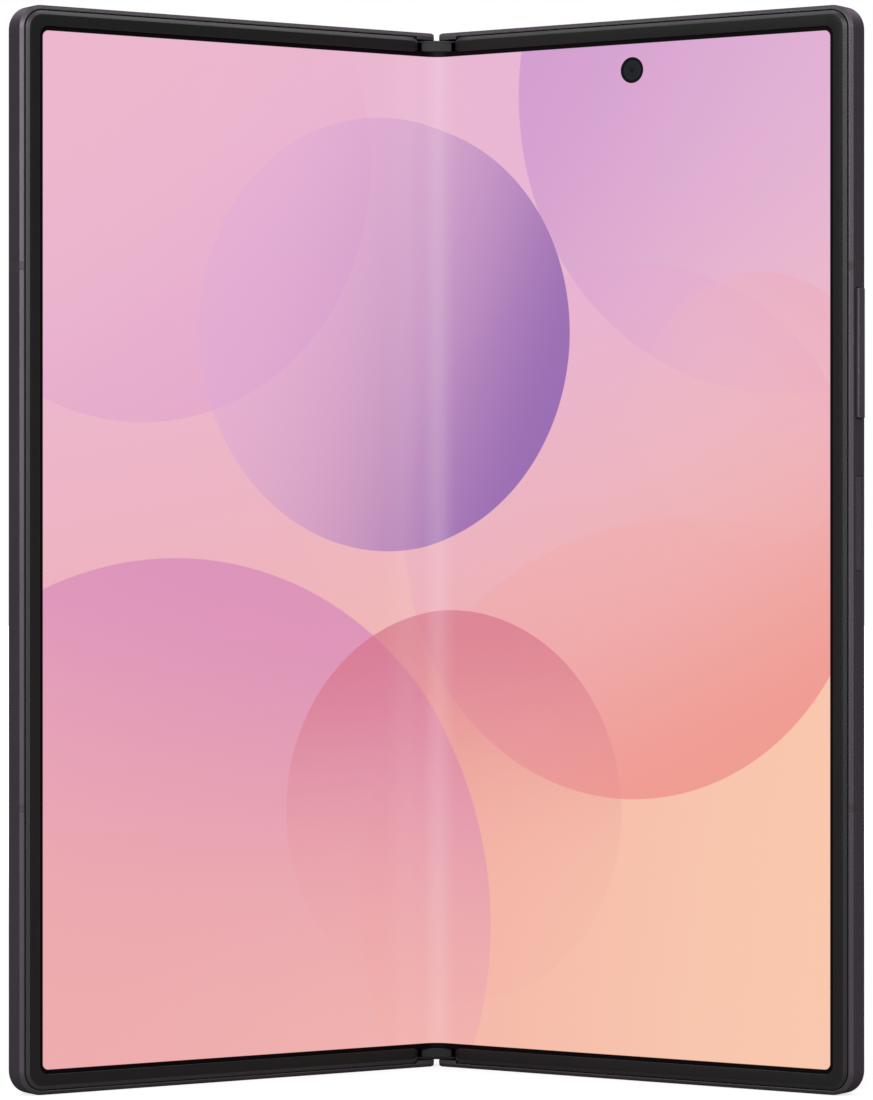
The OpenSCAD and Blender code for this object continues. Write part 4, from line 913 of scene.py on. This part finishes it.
FINISHES = {
    frame_metal: ["left_frame", "right_frame", "sim_tray"],
    spine_metal_painted_shade: ["hinge_spine_cover"],
    cap_plastic: ["hinge_end_caps"],
    key_metal: ["volume_key", "side_key"],
    bezel_plastic: ["left_bezel", "right_bezel"],
    band_plastic: ["left_antenna_bands", "right_antenna_bands"],
    panel_black: ["cover_display_panel"],
    rear_glass: ["rear_glass"],
    island_metal: ["camera_island"],
    ring_metal: ["camera_rings"],
    hinge_steel: ["hinge_brackets", "left_sync_arms", "right_sync_arms", "left_rotators", "right_rotators",
                  "detent_cams"],
    shaft_steel: ["gear_shafts", "hinge_rivets", "detent_springs", "usb_port"],
    gear_brass: ["left_idler_gears", "right_idler_gears"],
    plate_steel: ["display_center_support", "left_display_plate", "right_display_plate", "left_wing_plate",
                  "right_wing_plate"],
    magnet_nickel: ["left_magnets", "right_magnets"],
    screw_steel: ["left_screws", "right_screws"],
    battery_wrap: ["left_battery", "right_battery"],
    board: ["main_board"],
    side_board: ["left_board", "usb_board", "key_switches"],
    shield_tin: ["board_shields", "vibration_motor"],
    cable_film: ["flex_cable_upper", "flex_cable_lower"],
    speaker_box: ["loudspeaker", "earpiece"],
    camera_black: ["camera_modules", "cover_camera"],
    card_plastic: ["sim_card"],
    winding("charging_coil_copper"): ["wireless_coil"],
    contacts("usb_contacts"): ["usb_tongue"],
}
for finish, names in FINISHES.items():
    for name in names:
        dress(nodes[name], finish)

screen_axis = RIGHT.to_3x3() @ Vector((0, -1, 0)) / MM
cover_axis = LEFT.to_3x3() @ Vector((0, -1, 0)) / MM
dress(nodes["inner_camera"], lens_face("inner_camera_lens", RIGHT @ Vector((PUNCH_X, 0, PUNCH_Z)) / MM,
                                       screen_axis, PUNCH_R, INNER_LENS))
dress(nodes["cover_glass"], cover_glass_finish(
    "cover_screen_glass", LEFT @ Vector((COVER_HOLE_X, 0, COVER_HOLE_Z)) / MM, cover_axis))


# ---- the rear lenses ----

LENS_X = 59.5
LENS_Z = (103.9, 121.9, 139.9)
LENS_R = 6.1
LENS_FACE_Y = 5.9
LENS_FOOT_Y = 5.55
DOME_R = (2.45, 2.55, 2.2)
DOME_SAG = 0.16
FLASH_R = 1.1


def turned(name, profile, x, z, matrix, sides=72):
    """A solid turned about a line square to a half's back.

    The profile is (radius, depth) from the middle of its face round to the middle of its foot.
    """
    points, rings = [], []
    for r, y in profile:
        if r == 0:
            rings.append([len(points)] * sides)
            points.append((x, y, z))
        else:
            rings.append(list(range(len(points), len(points) + sides)))
            points += [(x + r * math.cos(a), y, z + r * math.sin(a))
                       for a in spread(0, 2 * math.pi, sides)[:-1]]
    faces = []
    for near, far in zip(rings, rings[1:]):
        for n in range(sides):
            m = (n + 1) % sides
            corners = [near[n], far[n], far[m], near[m]]
            faces.append(list(dict.fromkeys(corners)))
    return shade_smooth(mesh_piece(name, points, faces, matrix), 20)


def lens_profile(dome_r):
    """A lens window: a black collar, a cone down to the front element, and its low dome."""
    ball_r = (dome_r ** 2 + DOME_SAG ** 2) / (2 * DOME_SAG)
    crown = LENS_FACE_Y - 0.09
    dome = [(r, crown - ball_r + math.sqrt(ball_r ** 2 - r ** 2)) for r in spread(0, dome_r, 8)]
    seat = crown - DOME_SAG - 0.02
    collar_r = dome_r + 0.9
    cone = [(dome_r, seat), (dome_r + 0.45, seat), (dome_r + 0.5, seat + 0.05),
            (collar_r - 0.08, LENS_FACE_Y - 0.03)]
    collar = [(collar_r, LENS_FACE_Y), (LENS_R - 0.08, LENS_FACE_Y), (LENS_R, LENS_FACE_Y - 0.06)]
    return dome + cone + collar + [(LENS_R, LENS_FOOT_Y), (0, LENS_FOOT_Y)]


for number, (z, dome_r) in enumerate(zip(LENS_Z, DOME_R), 1):
    window = turned(f"rear_lens_{number}", lens_profile(dome_r), LENS_X, z, RIGHT)
    # Each rear lens face has its coating's reflections painted into its rings
    dress(window, lens_face(f"rear_lens_painted_reflections_{number}", RIGHT @ Vector((LENS_X, 0, z)) / MM,
                            screen_axis, LENS_R, REAR_LENS))
    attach(window, "right_half")
    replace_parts(window, "camera_glass")
dress(nodes["camera_glass"], camera_black)
dress(nodes["camera_flash"], flash_window("flash_window", middle_of("camera_flash"), screen_axis, FLASH_R))


# ---- the studio ----

FLOOR_GLOW = 0.75
PALE_FROM = 260.0
PALE_OVER = 500.0

floor = mesh_piece("floor", [(-4, -4, 0), (4, -4, 0), (4, 4, 0), (-4, 4, 0)], [[0, 1, 2, 3]])
matt_white = Finish("studio_floor", Base_Color=(0.27, 0.27, 0.27), Roughness=0.9, Specular_IOR_Level=0.0)
away = matt_white.vector("LENGTH", matt_white.place(), out=1)
paleness = ((away - PALE_FROM) / PALE_OVER).smooth() + FLOOR_GLOW
floor_light = matt_white.rays(camera=1.0, glossy=0.1, transmission=1.0) * paleness
matt_white.set(Emission_Color=matt_white.vector("SCALE", (1.0, 1.0, 1.0), Scale=floor_light),
               Emission_Strength=1.0)
dress(floor, matt_white)

# White to the camera, dimmer where it lights the phone, and dimmest in the phone's gloss
world = bpy.data.worlds.new("studio")
bpy.context.scene.world = world
sky = Nodes(world)
sky_light = sky.rays(camera=0.55, glossy=-0.10, transmission=0.45) + 0.45
backdrop = sky.add("ShaderNodeBackground", Color=(1.0, 1.0, 1.0), Strength=sky_light)
sky.add("ShaderNodeOutputWorld", {}, backdrop)


def soft_lamp(name, place, aim, width, height, power):
    """A large rectangular lamp that points at aim."""
    data = bpy.data.lights.new(name, "AREA")
    data.shape = "RECTANGLE"
    data.size, data.size_y = width, height
    data.energy = power
    lamp = bpy.data.objects.new(name, data)
    lamp.location = place
    lamp.rotation_euler = (Vector(aim) - Vector(place)).to_track_quat("-Z", "Y").to_euler()
    bpy.context.scene.collection.objects.link(lamp)


soft_lamp("front_lamp", (-0.25, -1.25, 0.54), (0, 0, 0.13), 1.7, 0.45, 16.5)
soft_lamp("top_lamp_left", (-0.7, -0.3, 1.3), (0, 0, 0.08), 0.8, 0.8, 7)
soft_lamp("top_lamp_right", (0.7, -0.3, 1.3), (0, 0, 0.08), 0.8, 0.8, 7)
soft_lamp("rear_lamp_left", (-0.8, 1.3, 0.7), (0, 0, 0.08), 0.7, 0.7, 6)
soft_lamp("rear_lamp_right", (0.8, 1.3, 0.7), (0, 0, 0.08), 0.7, 0.7, 6)

view_camera = bpy.data.cameras.new("camera")
view_camera.sensor_width = 36
view_camera.lens = 146.6
view_camera.clip_start = 0.01
camera_object = bpy.data.objects.new("camera", view_camera)
camera_object.location = (0, -0.66949, 0.0792)
camera_object.rotation_euler = (math.pi / 2, 0, 0)
bpy.context.scene.collection.objects.link(camera_object)
bpy.context.scene.camera = camera_object
bpy.context.scene.view_settings.view_transform = "Standard"
